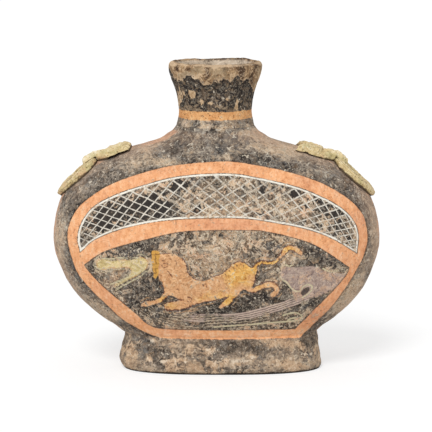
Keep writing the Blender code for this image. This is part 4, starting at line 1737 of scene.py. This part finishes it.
@dataclass(frozen=True)
class EarthCrust:
    """Charcoal slip with a crust of tan earth over it."""

    slip: Stops = (
        (0.0, (44, 39, 36)), (0.26, (84, 75, 67)), (0.5, (124, 113, 102)), (0.75, (160, 147, 132)),
        (1.0, (192, 178, 160)),
    )
    crust: Stops = (
        (0.0, (116, 92, 70)), (0.25, (168, 138, 108)), (0.5, (202, 170, 136)), (0.75, (220, 192, 160)),
        (1.0, (238, 220, 196)),
    )
    ash: Colour = (146, 146, 142)
    smoke: Colour = (82, 84, 86)
    brown: Colour = (132, 110, 88)
    rust: Colour = (222, 172, 134)
    moss: Colour = (142, 136, 120)
    # Pale flecks, and painted highlight beside the crust's layer edges.
    light: Colour = (222, 209, 188)
    # Dark pits, and painted shade along the crust's edges and layers.
    pit_and_shade: Colour = (50, 42, 36)

    def colour(self, grain: Grain, level: Value, earth: Value, rough: Term) -> tuple[Value, Value]:
        """Mix slip, ash and crust, with painted shade and painted highlight along the crust's edges and
        layers.

        Args:
            grain: the patterns.
            level: how dusty the slip is, from 0 to 1.
            earth: how much crust there is, about zero.
            rough: how gritty the surface is, from 0 for smudged to 1.

        Returns:
            The colour and the cover of the crust.
        """
        sheet = grain.sheet
        fine = grain.wear(0.0, 1.7, 0.9) * (rough * 0.3 + 0.7)
        dusty = level + grain.mottle * (1.7 - rough * 0.5) + grain.patch * 0.9 + fine
        colour = sheet.tones(dusty, self.slip)
        ash = grain.blotches(34.0, 11.0, 0.0, 0.22, ragged=0.8) * level.rise(0.2, 0.5)
        colour = sheet.mix(ash * 0.5, colour, self.ash)
        smoke = grain.blotches(28.0, 13.0, 0.02, 0.16) * level.rise(0.1, 0.35)
        colour = sheet.mix(smoke * 0.5, colour, self.smoke)
        colour = sheet.mix(grain.flecks(63.0, 7.0, 0.06, 0.16) * 0.45, colour, self.brown)
        laid = grain.wear(1.4, mottle=0.6) + grain.patch * 0.9 + fine * 0.3 + earth
        cover = (laid / (0.56 - rough * 0.26) + 0.25).clamped()
        tone = sheet.tones(0.50 + grain.mottle * 1.1 + fine * 0.8 + earth * 0.25, self.crust)
        tone = sheet.mix(grain.blotches(15.0, 14.0, 0.02, 0.14, 0.8) * rough * 0.6, tone, self.rust)
        moss = grain.blotches(19.0, 18.0, 0.03, 0.15, 0.8) * 0.6
        tone = sheet.mix(moss.greater((1.0 - rough) * 0.25), tone, self.moss)
        colour = sheet.mix(cover * 0.86, colour, tone)
        # Painted shade and painted highlight: a dark line at each layer's edge and a light line beside it, as
        # the shaded and lit sides of the crust.
        layer = grain.layers(4.6, 1.9, 1.6)
        worn = rough * 0.5 + 0.45
        colour = sheet.mix(layer.fall(0.08, 0.2) * worn * 0.86, colour, self.pit_and_shade)
        rim = layer.rise(0.15, 0.23) * layer.fall(0.28, 0.42)
        colour = sheet.mix(rim * worn * 0.84 * (cover * 0.45 + 0.55), colour, self.light)
        # Painted shade: a dark line along the border of the crust.
        edge = abs(laid + 0.03).fall(0.0, 0.05) * grain.mottle.rise(-0.10, 0.04)
        colour = sheet.mix(edge * 0.5, colour, self.pit_and_shade)
        colour = sheet.mix(grain.flecks(61.0, 5.6, 0.15, 0.23) * 0.7, colour, self.light)
        colour = sheet.mix(grain.flecks(62.0, 5.2, 0.14, 0.22) * 0.75, colour, self.pit_and_shade)
        return colour, cover


@dataclass(frozen=True)
class PaintedSlip:
    """Charcoal slip with orange bands, a lattice, a tiger and clouds."""

    ground: EarthCrust = EarthCrust()
    orange: Stops = (
        (0.0, (200, 134, 90)), (0.3, (232, 164, 114)), (0.6, (246, 182, 132)), (1.0, (252, 206, 164)),
    )
    redder: Stops = (
        (0.0, (180, 120, 90)), (0.35, (218, 150, 112)), (0.7, (232, 168, 128)), (1.0, (238, 190, 154)),
    )
    tiger: Stops = (
        (0.0, (142, 98, 68)), (0.28, (208, 152, 106)), (0.6, (234, 182, 134)), (1.0, (244, 208, 166)),
    )
    gold: Stops = (
        (0.0, (180, 118, 54)), (0.28, (228, 166, 86)), (0.62, (244, 192, 106)), (1.0, (248, 216, 152)),
    )
    cloud: Stops = (
        (0.0, (160, 134, 92)), (0.3, (214, 190, 128)), (0.6, (234, 212, 152)), (1.0, (248, 232, 196)),
    )
    mauve: Stops = (
        (0.0, (126, 104, 98)), (0.3, (176, 152, 142)), (0.6, (202, 178, 164)), (1.0, (226, 204, 184)),
    )
    clay: Stops = ((0.0, (96, 84, 70)), (0.5, (150, 134, 114)), (1.0, (190, 172, 150)))
    blush: Colour = (204, 170, 144)
    scratch: Colour = (218, 208, 190)
    faded: Colour = (206, 182, 158)
    band_edge: Colour = (76, 60, 48)
    white: Colour = (228, 220, 205)
    rim: Colour = (248, 242, 228)
    rim_edge: Colour = (104, 74, 54)
    black: Colour = (48, 44, 42)
    wave_gap: Colour = (66, 58, 54)
    ripple: Colour = (192, 176, 152)
    ripple_gap: Colour = (62, 54, 49)
    peach: Colour = (214, 170, 136)
    haze_curl: Colour = (120, 100, 90)
    hole: Colour = (62, 56, 54)
    cloud_edge: Colour = (196, 132, 76)
    halo: Colour = (204, 158, 110)
    coat_curl: Colour = (146, 100, 68)
    mane: Colour = (218, 164, 80)
    mane_lines: Colour = (130, 88, 44)
    pale: Colour = (216, 204, 168)
    red: Colour = (104, 58, 46)

    def material(self) -> bpy.types.Material:
        """Mix the finish.

        Returns:
            The material.
        """
        sheet = NodeSheet.named("painted_slip")
        grain = Grain.on(sheet)
        frame_in = sheet.painted("frame")
        outside = frame_in.fall(-1.5, 1.0)
        earth = sheet.painted("earth")
        brushed = sheet.line_noise(frame_in * 0.34 + grain.mottle * 2.6, 3.0, 0.6)
        rim = sheet.painted("side").rise(-26.0, 6.0)
        smeared = brushed * 0.9 + (-frame_in).rise(2.0, 11.0) * 0.09 + rim * 0.10 + 0.05
        level = outside * smeared + earth * (outside * 0.24 + 0.26) + 0.34
        laid = outside * (brushed * 0.5 + rim * 0.12 - 0.14) + earth * 0.46 + 0.02
        colour, crust = self.ground.colour(grain, level, laid, 1.0 - outside * 0.75)
        blush = outside * rim * (grain.patch + grain.crust * 0.5 + 0.1).rise(-0.1, 0.25)
        colour = sheet.mix(blush * 0.5, colour, self.blush)
        scratch = grain.scratches(21.0, (1.0, 1.0, 1.8)) + grain.scratches(33.0, (2.0, 1.0, 1.0))
        colour = sheet.mix(scratch.clamped() * outside * 0.75, colour, self.scratch)
        for layer in (self.lattice, self.strokes, self.clouds, self.leaping_tiger, self.threads):
            colour = layer(grain, colour)
        colour, paint = self.bands(grain, colour)
        inside = sheet.tones(0.5 + grain.wear(0.0, 0.8, mottle=1.2), self.clay)
        colour = sheet.mix(sheet.painted("bare").rise(0.3, 0.7), colour, inside)
        return grain.finish(colour, 0.87 - paint * 0.07, crust * (0.5 - paint * 0.3) + 0.3, 0.9)

    def bands(self, grain: Grain, under: Value) -> tuple[Value, Value]:
        """Paint the orange frame, its dark edges and the worn band round the sides.

        Args:
            grain: the patterns.
            under: the colour under the paint.

        Returns:
            The colour with the bands, and where they are.
        """
        sheet = grain.sheet
        frame_in, lens, panel, worn = (sheet.painted(name) for name in ("frame", "lens", "panel", "worn"))
        edge = frame_in.lesser(-lens - 0.4).lesser(-panel) + grain.wear(0.0, 0.9, mottle=1.0)
        thin = (grain.wear(0.9, 0.9, 0.4) + worn * 0.30).rise(0.22, 0.38)
        cuts = grain.scratches(41.0, (1.0, 1.0, 1.6)).greater(grain.flecks(43.0, 3.6, 0.15, 0.24)) * 0.6
        cover = edge.rise(-0.4, 0.4) * (1.0 - thin.greater(cuts) * 0.75)
        brush = sheet.noise(6.0, 2.0, 0.6, stretch=(1.0, 1.0, 3.0), seed=45.0)
        fine = grain.wear(0.0, 1.0, 0.5) + brush * 1.2
        height = sheet.height_mm()
        # Painted light and shade: the bands are painted lighter near the bottom, where the body turns down,
        # and a little darker high on the shoulders.
        lift = height.fall(34.0, 48.0) * 0.2 - height.rise(120.0, 200.0) * 0.06
        tone = sheet.tones(0.55 + lift + grain.mottle * 0.8 + fine, self.orange)
        warm = (grain.patch * 1.6 + grain.mottle * 1.2 + worn * 1.1 + 0.16).clamped()
        tone = sheet.mix(warm, tone, sheet.tones(0.5 + lift + grain.crust * 0.9 + fine, self.redder))
        outline = abs(edge + 0.25).fall(0.3, 0.95) * (grain.patch + grain.mottle).rise(-0.20, 0.0)
        colour = sheet.mix(outline * 0.62, under, self.band_edge)
        colour = sheet.mix(cover * 0.97, colour, tone)
        kept = (grain.wear(1.0, 0.6) - grain.patch + sheet.painted("kept")).rise(-0.06, 0.16)
        side = (sheet.painted("side") + grain.mottle * 14.0).rise(-2.0, 2.0) * frame_in.fall(-3.0, -1.0)
        faded = sheet.tones(0.5 + grain.crust * 0.9 + fine, self.redder)
        return sheet.mix(side * kept * 0.66, colour, sheet.mix(0.35, faded, self.faded)), cover

    def lattice(self, grain: Grain, under: Value) -> Value:
        """Paint the black cells and white lines of the lens over the panel.

        Args:
            grain: the shared patterns of the sheet.
            under: the colour under the paint.

        Returns:
            The colour with the paint on it.
        """
        sheet = grain.sheet
        lens, black = sheet.painted("lens"), sheet.painted("black")
        rise, fall = (sheet.painted(name) + grain.mottle * 0.16 for name in ("rise", "fall"))
        cell = sheet.add("ShaderNodeCombineXYZ", {}, {0: rise.math("FLOOR"), 1: fall.math("FLOOR")})
        chance = sheet.add("ShaderNodeTexWhiteNoise", {"noise_dimensions": "2D"}, {"Vector": cell}, "Value")
        wear = grain.wear(0.9, 0.8, 0.4)
        dark = (black - chance * 0.55 - wear * 1.3 - grain.speckle * 0.8).rise(0.12, 0.44)
        inside = (lens + grain.speckle * 1.2).rise(1.9, 2.5)
        colour = sheet.mix(inside * dark * 0.94, under, self.black)
        near = rise.math("PINGPONG", 0.5).lesser(fall.math("PINGPONG", 0.5)) * 7.6
        kept = (black * 0.60 - wear * 1.3 + 0.11 + grain.patch * 0.8).rise(0.0, 0.46)
        lines = (near + grain.wear(0.0, 1.1, 0.8)).fall(0.2, 0.8) * (kept * 0.64 + 0.36) * inside
        colour = sheet.mix(lines * 0.94, colour, self.white)
        rim = lens + grain.wear(0.0, 1.4, mottle=1.2)
        worn_rim = (wear + grain.patch * 0.6 - black * 0.12).fall(0.04, 0.26)
        border = rim.rise(-0.3, 0.2) * rim.fall(1.4, 2.4) * worn_rim
        colour = sheet.mix(border * 0.96, colour, self.rim)
        brown = abs(rim + 0.5).fall(0.3, 0.9) * (grain.mottle + grain.patch).rise(-0.16, 0.02)
        return sheet.mix(brown * 0.7, colour, self.rim_edge)

    def strokes(self, grain: Grain, under: Value) -> Value:
        """Paint the bundles of mauve and grey strokes under the tiger.

        Args:
            grain: the shared patterns of the sheet.
            under: the colour under the paint.

        Returns:
            The colour with the paint on it.
        """
        sheet = grain.sheet
        wave = sheet.painted("wave") + grain.mottle * 3.0
        hair = (wave + grain.speckle * 1.2).math("PINGPONG", 1.05)
        lost = grain.wear(1.0, mottle=1.0) + sheet.painted("worn") * 0.5
        kept = abs(wave).fall(3.4, 4.6) * lost.fall(0.02, 0.26)
        mauve = sheet.tones(0.3 + hair * 0.55 + grain.speckle * 1.2, self.mauve)
        colour = sheet.mix(kept * 0.86, under, mauve)
        colour = sheet.mix(kept * hair.fall(0.1, 0.45) * 0.8, colour, self.wave_gap)
        ripple = sheet.painted("ripple") + grain.mottle * 7.0
        hair = (ripple + grain.speckle * 2.0).math("PINGPONG", 1.3)
        kept = abs(ripple).fall(5.0, 8.0) * grain.wear(0.6, mottle=1.0).rise(-0.14, 0.04)
        colour = sheet.mix(kept * hair.rise(0.7, 1.2) * 0.85, colour, self.ripple)
        return sheet.mix(kept * hair.fall(0.1, 0.6) * 0.85, colour, self.ripple_gap)

    def clouds(self, grain: Grain, under: Value) -> Value:
        """Paint the lilac cloud with its hole, and the yellow cloud.

        Args:
            grain: the shared patterns of the sheet.
            under: the colour under the paint.

        Returns:
            The colour with the paint on it.
        """
        sheet, ragged, thin = grain.sheet, grain.ragged, grain.thin
        haze = (sheet.painted("haze") + ragged * 1.3).rise(-0.5, 0.9) * thin.fall(0.10, 0.28)
        lilac = sheet.tones(grain.figure_tone, self.mauve)
        lilac = sheet.mix((grain.mottle + grain.speckle).rise(0.0, 0.16) * 0.7, lilac, self.peach)
        lilac = sheet.mix(grain.curls * 0.45, lilac, self.haze_curl)
        colour = sheet.mix(haze * 0.78, under, lilac)
        hole = (sheet.painted("hole") + ragged * 0.4).rise(-0.3, 0.5)
        colour = sheet.mix(hole * 0.85, colour, self.hole)
        shape = sheet.painted("cloud")
        cloud = (shape + ragged * 1.1 + 0.3).rise(-0.8, 1.4) * thin.fall(0.06, 0.32)
        colour = sheet.mix(cloud * 0.78, colour, sheet.tones(grain.figure_tone, self.cloud))
        trace = abs(shape + ragged * 0.5 - 0.2).fall(0.2, 0.8) * grain.mottle.rise(-0.04, 0.06)
        colour = sheet.mix(trace * 0.5, colour, self.cloud_edge)
        around = abs(shape + grain.wear(4.0, mottle=9.0) + 2.4).fall(0.2, 0.9) * thin.fall(-0.08, 0.16)
        return sheet.mix(around * 0.62, colour, self.pale)

    def leaping_tiger(self, grain: Grain, under: Value) -> Value:
        """Paint the tiger with its mane.

        Args:
            grain: the shared patterns of the sheet.
            under: the colour under the paint.

        Returns:
            The colour with the paint on it.
        """
        sheet, ragged, thin = grain.sheet, grain.ragged, grain.thin
        shape, gold = sheet.painted("tiger"), sheet.painted("gold")
        torn = shape + ragged * 1.2 + grain.dust * 1.6
        around = abs(shape + grain.wear(3.0, mottle=6.0) + 2.8).fall(0.2, 0.8)
        around = around * grain.wear(0.0, 0.5, mottle=1.0).rise(-0.05, 0.06)
        colour = sheet.mix(around * 0.5, under, self.halo)
        body = (torn - 0.1).rise(-0.5, 0.5) * (thin + sheet.painted("worn") * 0.25).fall(0.12, 0.28)
        golden = (gold + grain.wear(0.5, mottle=1.2)).rise(0.1, 0.8)
        plain, rich = (sheet.tones(grain.figure_tone, stops) for stops in (self.tiger, self.gold))
        coat = sheet.mix(golden, plain, rich)
        coat = sheet.mix(grain.curls * grain.mottle.rise(-0.14, 0.06) * 0.55, coat, self.coat_curl)
        colour = sheet.mix(body * 0.94, colour, coat)
        mane = (sheet.painted("mane") + ragged * 0.35).rise(-0.3, 0.4) * thin.fall(0.14, 0.34)
        bars = (sheet.painted("tick") + grain.wear(0.0, 1.1, 0.8)).fall(0.25, 0.7)
        colour = sheet.mix(mane * 0.92, colour, sheet.mix(bars * 0.7, self.mane, self.mane_lines))
        drawn = (grain.wear(0.5, mottle=1.0) + gold * 0.12).rise(-0.08, 0.06)
        outline = abs(torn + 0.3).fall(0.15, 0.75) * drawn
        lines = (sheet.painted("red_line") + grain.speckle * 1.6).fall(0.3, 0.85)
        return sheet.mix((outline * 0.8).greater(lines * 0.85), colour, self.red)

    def threads(self, grain: Grain, under: Value) -> Value:
        """Paint the thin pale lines."""
        thread = (grain.sheet.painted("pale_line") + grain.ragged * 0.35).fall(0.35, 1.05)
        return grain.sheet.mix(thread * grain.thin.fall(0.08, 0.34) * 0.85, under, self.pale)


@dataclass(frozen=True)
class NeckSlip:
    """Charcoal slip of the neck, peeled at the mouth, with one orange band."""

    ground: EarthCrust = EarthCrust()
    clay: Stops = (
        (0.0, (78, 58, 42)), (0.2, (140, 110, 80)), (0.5, (188, 156, 118)), (0.75, (208, 178, 142)),
        (1.0, (228, 206, 176)),
    )
    paint: Stops = (
        (0.0, (172, 112, 60)), (0.3, (214, 152, 96)), (0.65, (232, 178, 122)), (1.0, (244, 204, 152)),
    )
    inside: Stops = ((0.0, (92, 80, 68)), (0.4, (206, 190, 170)), (1.0, (236, 220, 200)))
    streak: Colour = (126, 106, 86)
    fleck: Colour = (158, 136, 108)
    thin_slip: Colour = (154, 132, 106)
    # Painted shade at the edges of the clay's layers.
    layer_shade: Colour = (82, 60, 44)
    # Painted highlight beside the edges of the clay's layers.
    layer_highlight: Colour = (232, 206, 174)
    moss: Colour = (132, 116, 92)
    clay_pit: Colour = (74, 54, 40)
    peel_crack: Colour = (40, 33, 28)
    peel_lip: Colour = (222, 200, 174)
    band_pit: Colour = (104, 64, 36)
    # The painted highlight along the top of the lip.
    crest: Colour = (214, 186, 154)

    def material(self) -> bpy.types.Material:
        """Mix the finish.

        Returns:
            The material.
        """
        sheet = NodeSheet.named("neck_slip")
        grain = Grain.on(sheet)
        # The earth value also carries the painted shade inside the far lip.
        earth = sheet.painted("earth")
        height = sheet.height_mm()
        below_band = height.fall(238.0, 242.0)
        level = below_band * 0.60 + earth * 0.3 - 0.04
        colour, crust = self.ground.colour(grain, level, earth * 0.5 - 0.26 + below_band * 0.32, 0.55)
        colour = self.worn_slip(grain, colour, height, 1.0 - below_band)
        peel = sheet.painted("peel") + grain.wear(14.0, 6.0)
        peeled = peel.rise(-0.6, 0.6)
        colour = sheet.mix(abs(peel + 1.0).fall(0.6, 2.6) * 0.6, colour, self.peel_crack)
        colour = sheet.mix(peeled, colour, self.bare_clay(grain, earth))
        colour = sheet.mix(abs(peel - 0.8).fall(0.3, 1.4) * 0.3, colour, self.peel_lip)
        colour = self.band(grain, colour)
        # Painted highlight along the top of the lip, left off on the far side.
        crest = sheet.painted("crest") + grain.wear(0.0, 0.8, mottle=1.6) + grain.patch
        colour = sheet.mix(crest.rise(0.45, 0.95) * 0.6, colour, self.crest)
        inside = sheet.tones(0.5 + grain.wear(0.0, 1.0, 0.7, 1.6), self.inside)
        colour = sheet.mix(sheet.painted("bare"), colour, inside)
        return grain.finish(colour, 0.87, crust * 0.35 + peeled * 0.25 + 0.2, 0.95)

    def worn_slip(self, grain: Grain, under: Value, height: Value, above: Value) -> Value:
        """Streak and flake the slip over the band.

        Args:
            grain: the shared patterns of the sheet.
            under: the slip's colour.
            height: the height in millimetres.
            above: 1 over the band and 0 under it.

        Returns:
            The worn colour.
        """
        sheet = grain.sheet
        streaks = sheet.noise(6.0, 2.0, 0.6, stretch=(1.0, 1.0, 5.0), seed=51.0)
        light = (streaks + grain.wear(0.6, 0.5)).rise(0.06, 0.2)
        colour = sheet.mix(light * above * 0.28, under, self.streak)
        colour = sheet.mix(grain.flecks(55.0, 5.0, 0.10, 0.18) * 0.5, colour, self.fleck)
        low = (height.fall(238.0, 258.0) * 0.5 + grain.wear(1.4, 1.0)).rise(0.30, 0.50)
        colour = sheet.mix(low * above * 0.6, colour, self.thin_slip)
        flake = (sheet.painted("flake") + grain.wear(1.0, 0.9) - 0.34).rise(-0.04, 0.06)
        tone = sheet.tones(0.62 + grain.wear(0.0, 1.2, mottle=1.0), self.clay)
        return sheet.mix(flake * above * 0.9, colour, tone)

    def bare_clay(self, grain: Grain, earth: Value) -> Value:
        """Return the flaking clay where the slip has peeled off, with painted shade and painted highlight on
        the edges of its layers.

        Args:
            grain: the shared patterns of the sheet.
            earth: how much earth there is, with the painted shade inside the far lip, about zero.

        Returns:
            The colour.
        """
        sheet = grain.sheet
        clay = sheet.tones(0.43 + grain.wear(1.5, 0.9, 0.63, 1.3) + earth * 0.6, self.clay)
        layer = grain.layers(4.0, 1.6, 1.8)
        # Painted shade and painted highlight: a dark line at each layer's edge and a light line beside it.
        clay = sheet.mix(layer.fall(0.06, 0.16) * 0.65, clay, self.layer_shade)
        clay = sheet.mix(layer.rise(0.12, 0.20) * layer.fall(0.26, 0.42) * 0.5, clay, self.layer_highlight)
        clay = sheet.mix(grain.blotches(20.0, 54.0, 0.0, 0.14) * 0.55, clay, self.moss)
        return sheet.mix(grain.flecks(52.0, 3.6, 0.15, 0.22) * 0.75, clay, self.clay_pit)

    def band(self, grain: Grain, under: Value) -> Value:
        """Paint the orange band round the neck.

        Args:
            grain: the shared patterns of the sheet.
            under: the colour under the paint.

        Returns:
            The colour with the paint on it.
        """
        sheet = grain.sheet
        band = sheet.painted("band") + grain.wear(1.5, 1.4, mottle=2.0)
        cover = band.rise(-0.3, 0.4) * (1.0 - grain.wear(0.8, 0.9, 0.5).rise(0.16, 0.32) * 0.8)
        tone = sheet.tones(0.5 + grain.wear(0.0, 1.0, 0.7, 1.0), self.paint)
        colour = sheet.mix(cover * 0.96, under, tone)
        return sheet.mix(grain.flecks(53.0, 3.2, 0.12, 0.2) * cover * 0.8, colour, self.band_pit)


@dataclass(frozen=True)
class EarthyClay:
    """Worn slip and tan earth on the foot, with a painted highlight along its ridges and a painted contact
    shadow at its base.
    """

    ground: EarthCrust = EarthCrust()
    earth: Stops = (
        (0.0, (112, 88, 68)), (0.28, (176, 144, 114)), (0.55, (210, 177, 143)), (0.8, (228, 200, 168)),
        (1.0, (240, 222, 198)),
    )
    orange: Stops = PaintedSlip.orange
    dark_smear: Colour = (96, 84, 72)
    light_smear: Colour = (196, 170, 142)
    haze: Colour = (148, 126, 104)
    # The painted highlight along the foot's ridges.
    ridge: Colour = (226, 210, 188)
    # Painted shade: the dark contact shadow along the foot's base.
    base_contact_shadow: Colour = (40, 34, 30)

    def material(self) -> bpy.types.Material:
        """Mix the finish.

        Returns:
            The material.
        """
        sheet = NodeSheet.named("earthy_clay")
        grain = Grain.on(sheet)
        earth = sheet.painted("earth")
        colour, crust = self.ground.colour(grain, 0.54 + earth * 0.5, earth * 0.4 + 0.02, 0.4)
        tan = sheet.tones(0.56 + grain.wear(0.6, 1.4, 0.98, 0.9), self.earth)
        warm = sheet.noise(26.0, 3.0, 0.6, seed=15.0, distortion=0.5) + earth * 0.35 + grain.speckle * 0.4
        colour = sheet.mix(warm.rise(-0.04, 0.09) * 0.8, colour, tan)
        smear = sheet.noise(9.0, 3.0, 0.6, stretch=(5.0, 5.0, 1.0), seed=16.0)
        colour = sheet.mix(smear.rise(0.04, 0.18) * 0.5, colour, self.dark_smear)
        colour = sheet.mix(smear.fall(-0.18, -0.05) * 0.3, colour, self.light_smear)
        haze = (grain.patch + grain.mottle * 0.8).rise(-0.25, 0.25)
        colour = sheet.mix(haze * 0.22 + 0.04, colour, self.haze)
        # Painted highlight: pale streaks along the ridges of the foot.
        ridge = (sheet.painted("ridge") + grain.wear(1.2, 0.9)).rise(0.28, 0.5)
        colour = sheet.mix(ridge * 0.7, colour, self.ridge)
        band = (sheet.painted("frame") + grain.wear(0.0, 1.8, mottle=1.6)).rise(-0.3, 0.3)
        thin = grain.wear(0.8, 0.9, 0.5).rise(0.20, 0.34)
        orange = sheet.tones(0.5 + grain.wear(0.0, 1.2, 0.84, 0.8), self.orange)
        colour = sheet.mix(band * (1.0 - thin * 0.8), colour, orange)
        # Painted shade: a dark contact shadow over the lowest 1 to 2 mm of the foot, where it meets the
        # floor.
        base_contact_shadow = (sheet.height_mm() + grain.speckle * 1.6 + grain.patch * 3.0).fall(1.2, 2.3)
        colour = sheet.mix(base_contact_shadow * 0.93, colour, self.base_contact_shadow)
        return grain.finish(colour, 0.9, crust * 0.5 + 0.25, 0.95)


@dataclass(frozen=True)
class OchreRelief:
    """Matt yellow-green ochre over the moulded masks and rings, with painted shade low on the relief."""

    ochre: Stops = (
        (0.0, (128, 104, 70)), (0.22, (178, 154, 108)), (0.5, (212, 190, 142)), (0.75, (226, 208, 166)),
        (1.0, (240, 228, 200)),
    )
    green: Colour = (186, 178, 128)
    peach: Colour = (218, 178, 140)
    # The worn-off lower edge of the relief, also darkened as painted shade where it meets the body.
    worn: Stops = ((0.0, (60, 50, 42)), (0.4, (104, 90, 76)), (0.7, (136, 118, 98)), (1.0, (168, 148, 122)))
    # The painted shadow line where the relief meets the body.
    line: Colour = (66, 50, 36)
    # Dark pits, and painted shade in the grooves between the ring's strands.
    pit_and_shade: Colour = (92, 66, 42)

    def material(self) -> bpy.types.Material:
        """Mix the finish.

        Returns:
            The material.
        """
        sheet = NodeSheet.named("ochre_relief")
        grain = Grain.on(sheet)
        ground = sheet.painted("height")
        # Painted shade: the ochre is a little darker on the low parts of the relief and lighter on its high
        # parts.
        colour = sheet.tones(0.53 + grain.wear(0.6, 0.9, 0.8, 0.5) + ground * 0.05, self.ochre)
        green = sheet.noise(16.0, 2.0, seed=17.0).rise(0.02, 0.14)
        colour = sheet.mix(green * 0.45, colour, self.green)
        peach = sheet.noise(21.0, 2.0, seed=19.0).rise(0.03, 0.14)
        colour = sheet.mix((peach * 0.5).greater(sheet.painted("low_end") * 0.5), colour, self.peach)
        # Painted shade: dark lines along the ring's strands, as shade in their grooves.
        strand = abs(sheet.painted("strand") + grain.mottle * 0.3).fall(0.02, 0.10)
        colour = sheet.mix(strand * grain.mottle.rise(-0.10, 0.02) * 0.6, colour, self.pit_and_shade)
        colour = sheet.mix(grain.flecks(71.0, 3.4, 0.12, 0.2) * 0.65, colour, self.pit_and_shade)
        # The lowest edge of the relief is painted as worn-off ochre showing slip, darkened as painted shade,
        # with a painted shadow line where it meets the body.
        side = ground + grain.wear(0.0, 1.6, mottle=2.4)
        worn = sheet.tones(0.5 + grain.wear(0.0, 0.9, 0.8), self.worn)
        colour = sheet.mix(side.fall(-3.0, -2.2), colour, worn)
        colour = sheet.mix(abs(side + 2.5).fall(0.1, 0.8) * 0.75, colour, self.line)
        return grain.finish(colour, 0.86, 0.5 + grain.crust * 0.5, 0.8)


# Studio


@dataclass(frozen=True)
class Studio:
    """A white floor under soft light."""

    floor_size: float = 80.0
    floor_drop: float = 0.0002
    sky_strength: float = 0.64
    key_strength: float = 1.6
    key_toward: Triple = (-0.30, -1.0, 1.0)
    key_angle: float = 0.36
    paper_share: float = 0.8
    seen_share: float = 0.475
    glow: float = 0.57
    white: tuple[float, float, float, float] = (1.0, 1.0, 1.0, 1.0)

    def set_up(self) -> None:
        """Make the floor, the sky and the lamp."""
        half = self.floor_size / 2
        mesh = bpy.data.meshes.new("floor")
        corners = [(-half, -half), (half, -half), (half, half), (-half, half)]
        mesh.from_pydata([(x, y, -self.floor_drop) for x, y in corners], [], [(0, 1, 2, 3)])
        mesh.materials.append(self.floor_material())
        floor = bpy.data.objects.new("floor", mesh)
        bpy.context.scene.collection.objects.link(floor)
        self.set_sky()
        self.set_lamp()
        bpy.context.scene.view_settings.view_transform = "Standard"

    def floor_material(self) -> bpy.types.Material:
        """Return white paper that stays white to the camera and keeps shadows.

        Returns:
            The material.
        """
        sheet = NodeSheet.named("white_paper")
        paper, shaded = (
            sheet.add("ShaderNodeBsdfDiffuse", {}, {"Color": (share, share, share, 1.0)})
            for share in (self.paper_share, self.seen_share)
        )
        glow = sheet.add("ShaderNodeEmission", {}, {"Color": self.white, "Strength": self.glow})
        shown = sheet.add("ShaderNodeAddShader", {}, {0: shaded, 1: glow})
        return sheet.end(self.seen_or_not(sheet, shown, paper))

    def set_sky(self) -> None:
        """Light the scene evenly from all round, and show the camera white."""
        sheet = NodeSheet(bpy.data.worlds.new("sky"))
        shown, light = (
            sheet.add("ShaderNodeBackground", {}, {"Color": self.white, "Strength": strength})
            for strength in (1.0, self.sky_strength)
        )
        bpy.context.scene.world = sheet.end(self.seen_or_not(sheet, shown, light), "ShaderNodeOutputWorld")

    def seen_or_not(self, sheet: NodeSheet, shown: Value, other: Value) -> Value:
        """Return the shader that the camera sees as one and all other rays as another."""
        seen = sheet.add("ShaderNodeLightPath", {}, {}, "Is Camera Ray")
        return sheet.add("ShaderNodeMixShader", {}, {0: seen, 1: other, 2: shown})

    def set_lamp(self) -> None:
        """Light the flask by a broad far lamp at the upper left."""
        data = bpy.data.lights.new("key", "SUN")
        data.energy = self.key_strength
        data.angle = self.key_angle
        lamp = bpy.data.objects.new("key", data)
        lamp.rotation_euler = Vector(self.key_toward).to_track_quat("Z", "Y").to_euler()
        bpy.context.scene.collection.objects.link(lamp)


def main() -> None:
    """Build and dress the flask, piece by piece."""
    logging.basicConfig(level=logging.INFO, format="%(name)s: %(message)s")
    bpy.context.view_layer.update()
    camera = PictureCamera()
    camera.set_up()
    Studio().set_up()
    form = FlaskForm.from_frame()
    drawing = PanelDrawing()
    slip = PaintedSlip().material()
    for face, node in ((Face.FRONT, "front_shell"), (Face.BACK, "back_shell")):
        half = HalfBody(form, camera, drawing, face)
        half.surface().to_piece(node.replace("shell", "skin"), slip, Slot.PAINTED, node)
    neck = Neck.from_frame(form, camera)
    neck.surface().to_piece("thrown_neck", NeckSlip().material(), Slot.PAINTED, "neck")
    foot = Foot(form, camera, drawing)
    foot.surface().to_piece("ring_foot", EarthyClay().material(), Slot.CLAY, "foot")
    ochre = OchreRelief().material()
    for side in Side:
        word = side.name.lower()
        relief = MaskAndRing(ShoulderMap(form), side)
        relief.mask_surface().to_piece(f"{word}_animal_mask", ochre, Slot.OCHRE, f"{word}_mask")
        relief.ring_surface().to_piece(f"{word}_clay_ring", ochre, Slot.OCHRE, f"{word}_ring")


if __name__ == "__main__":
    main()
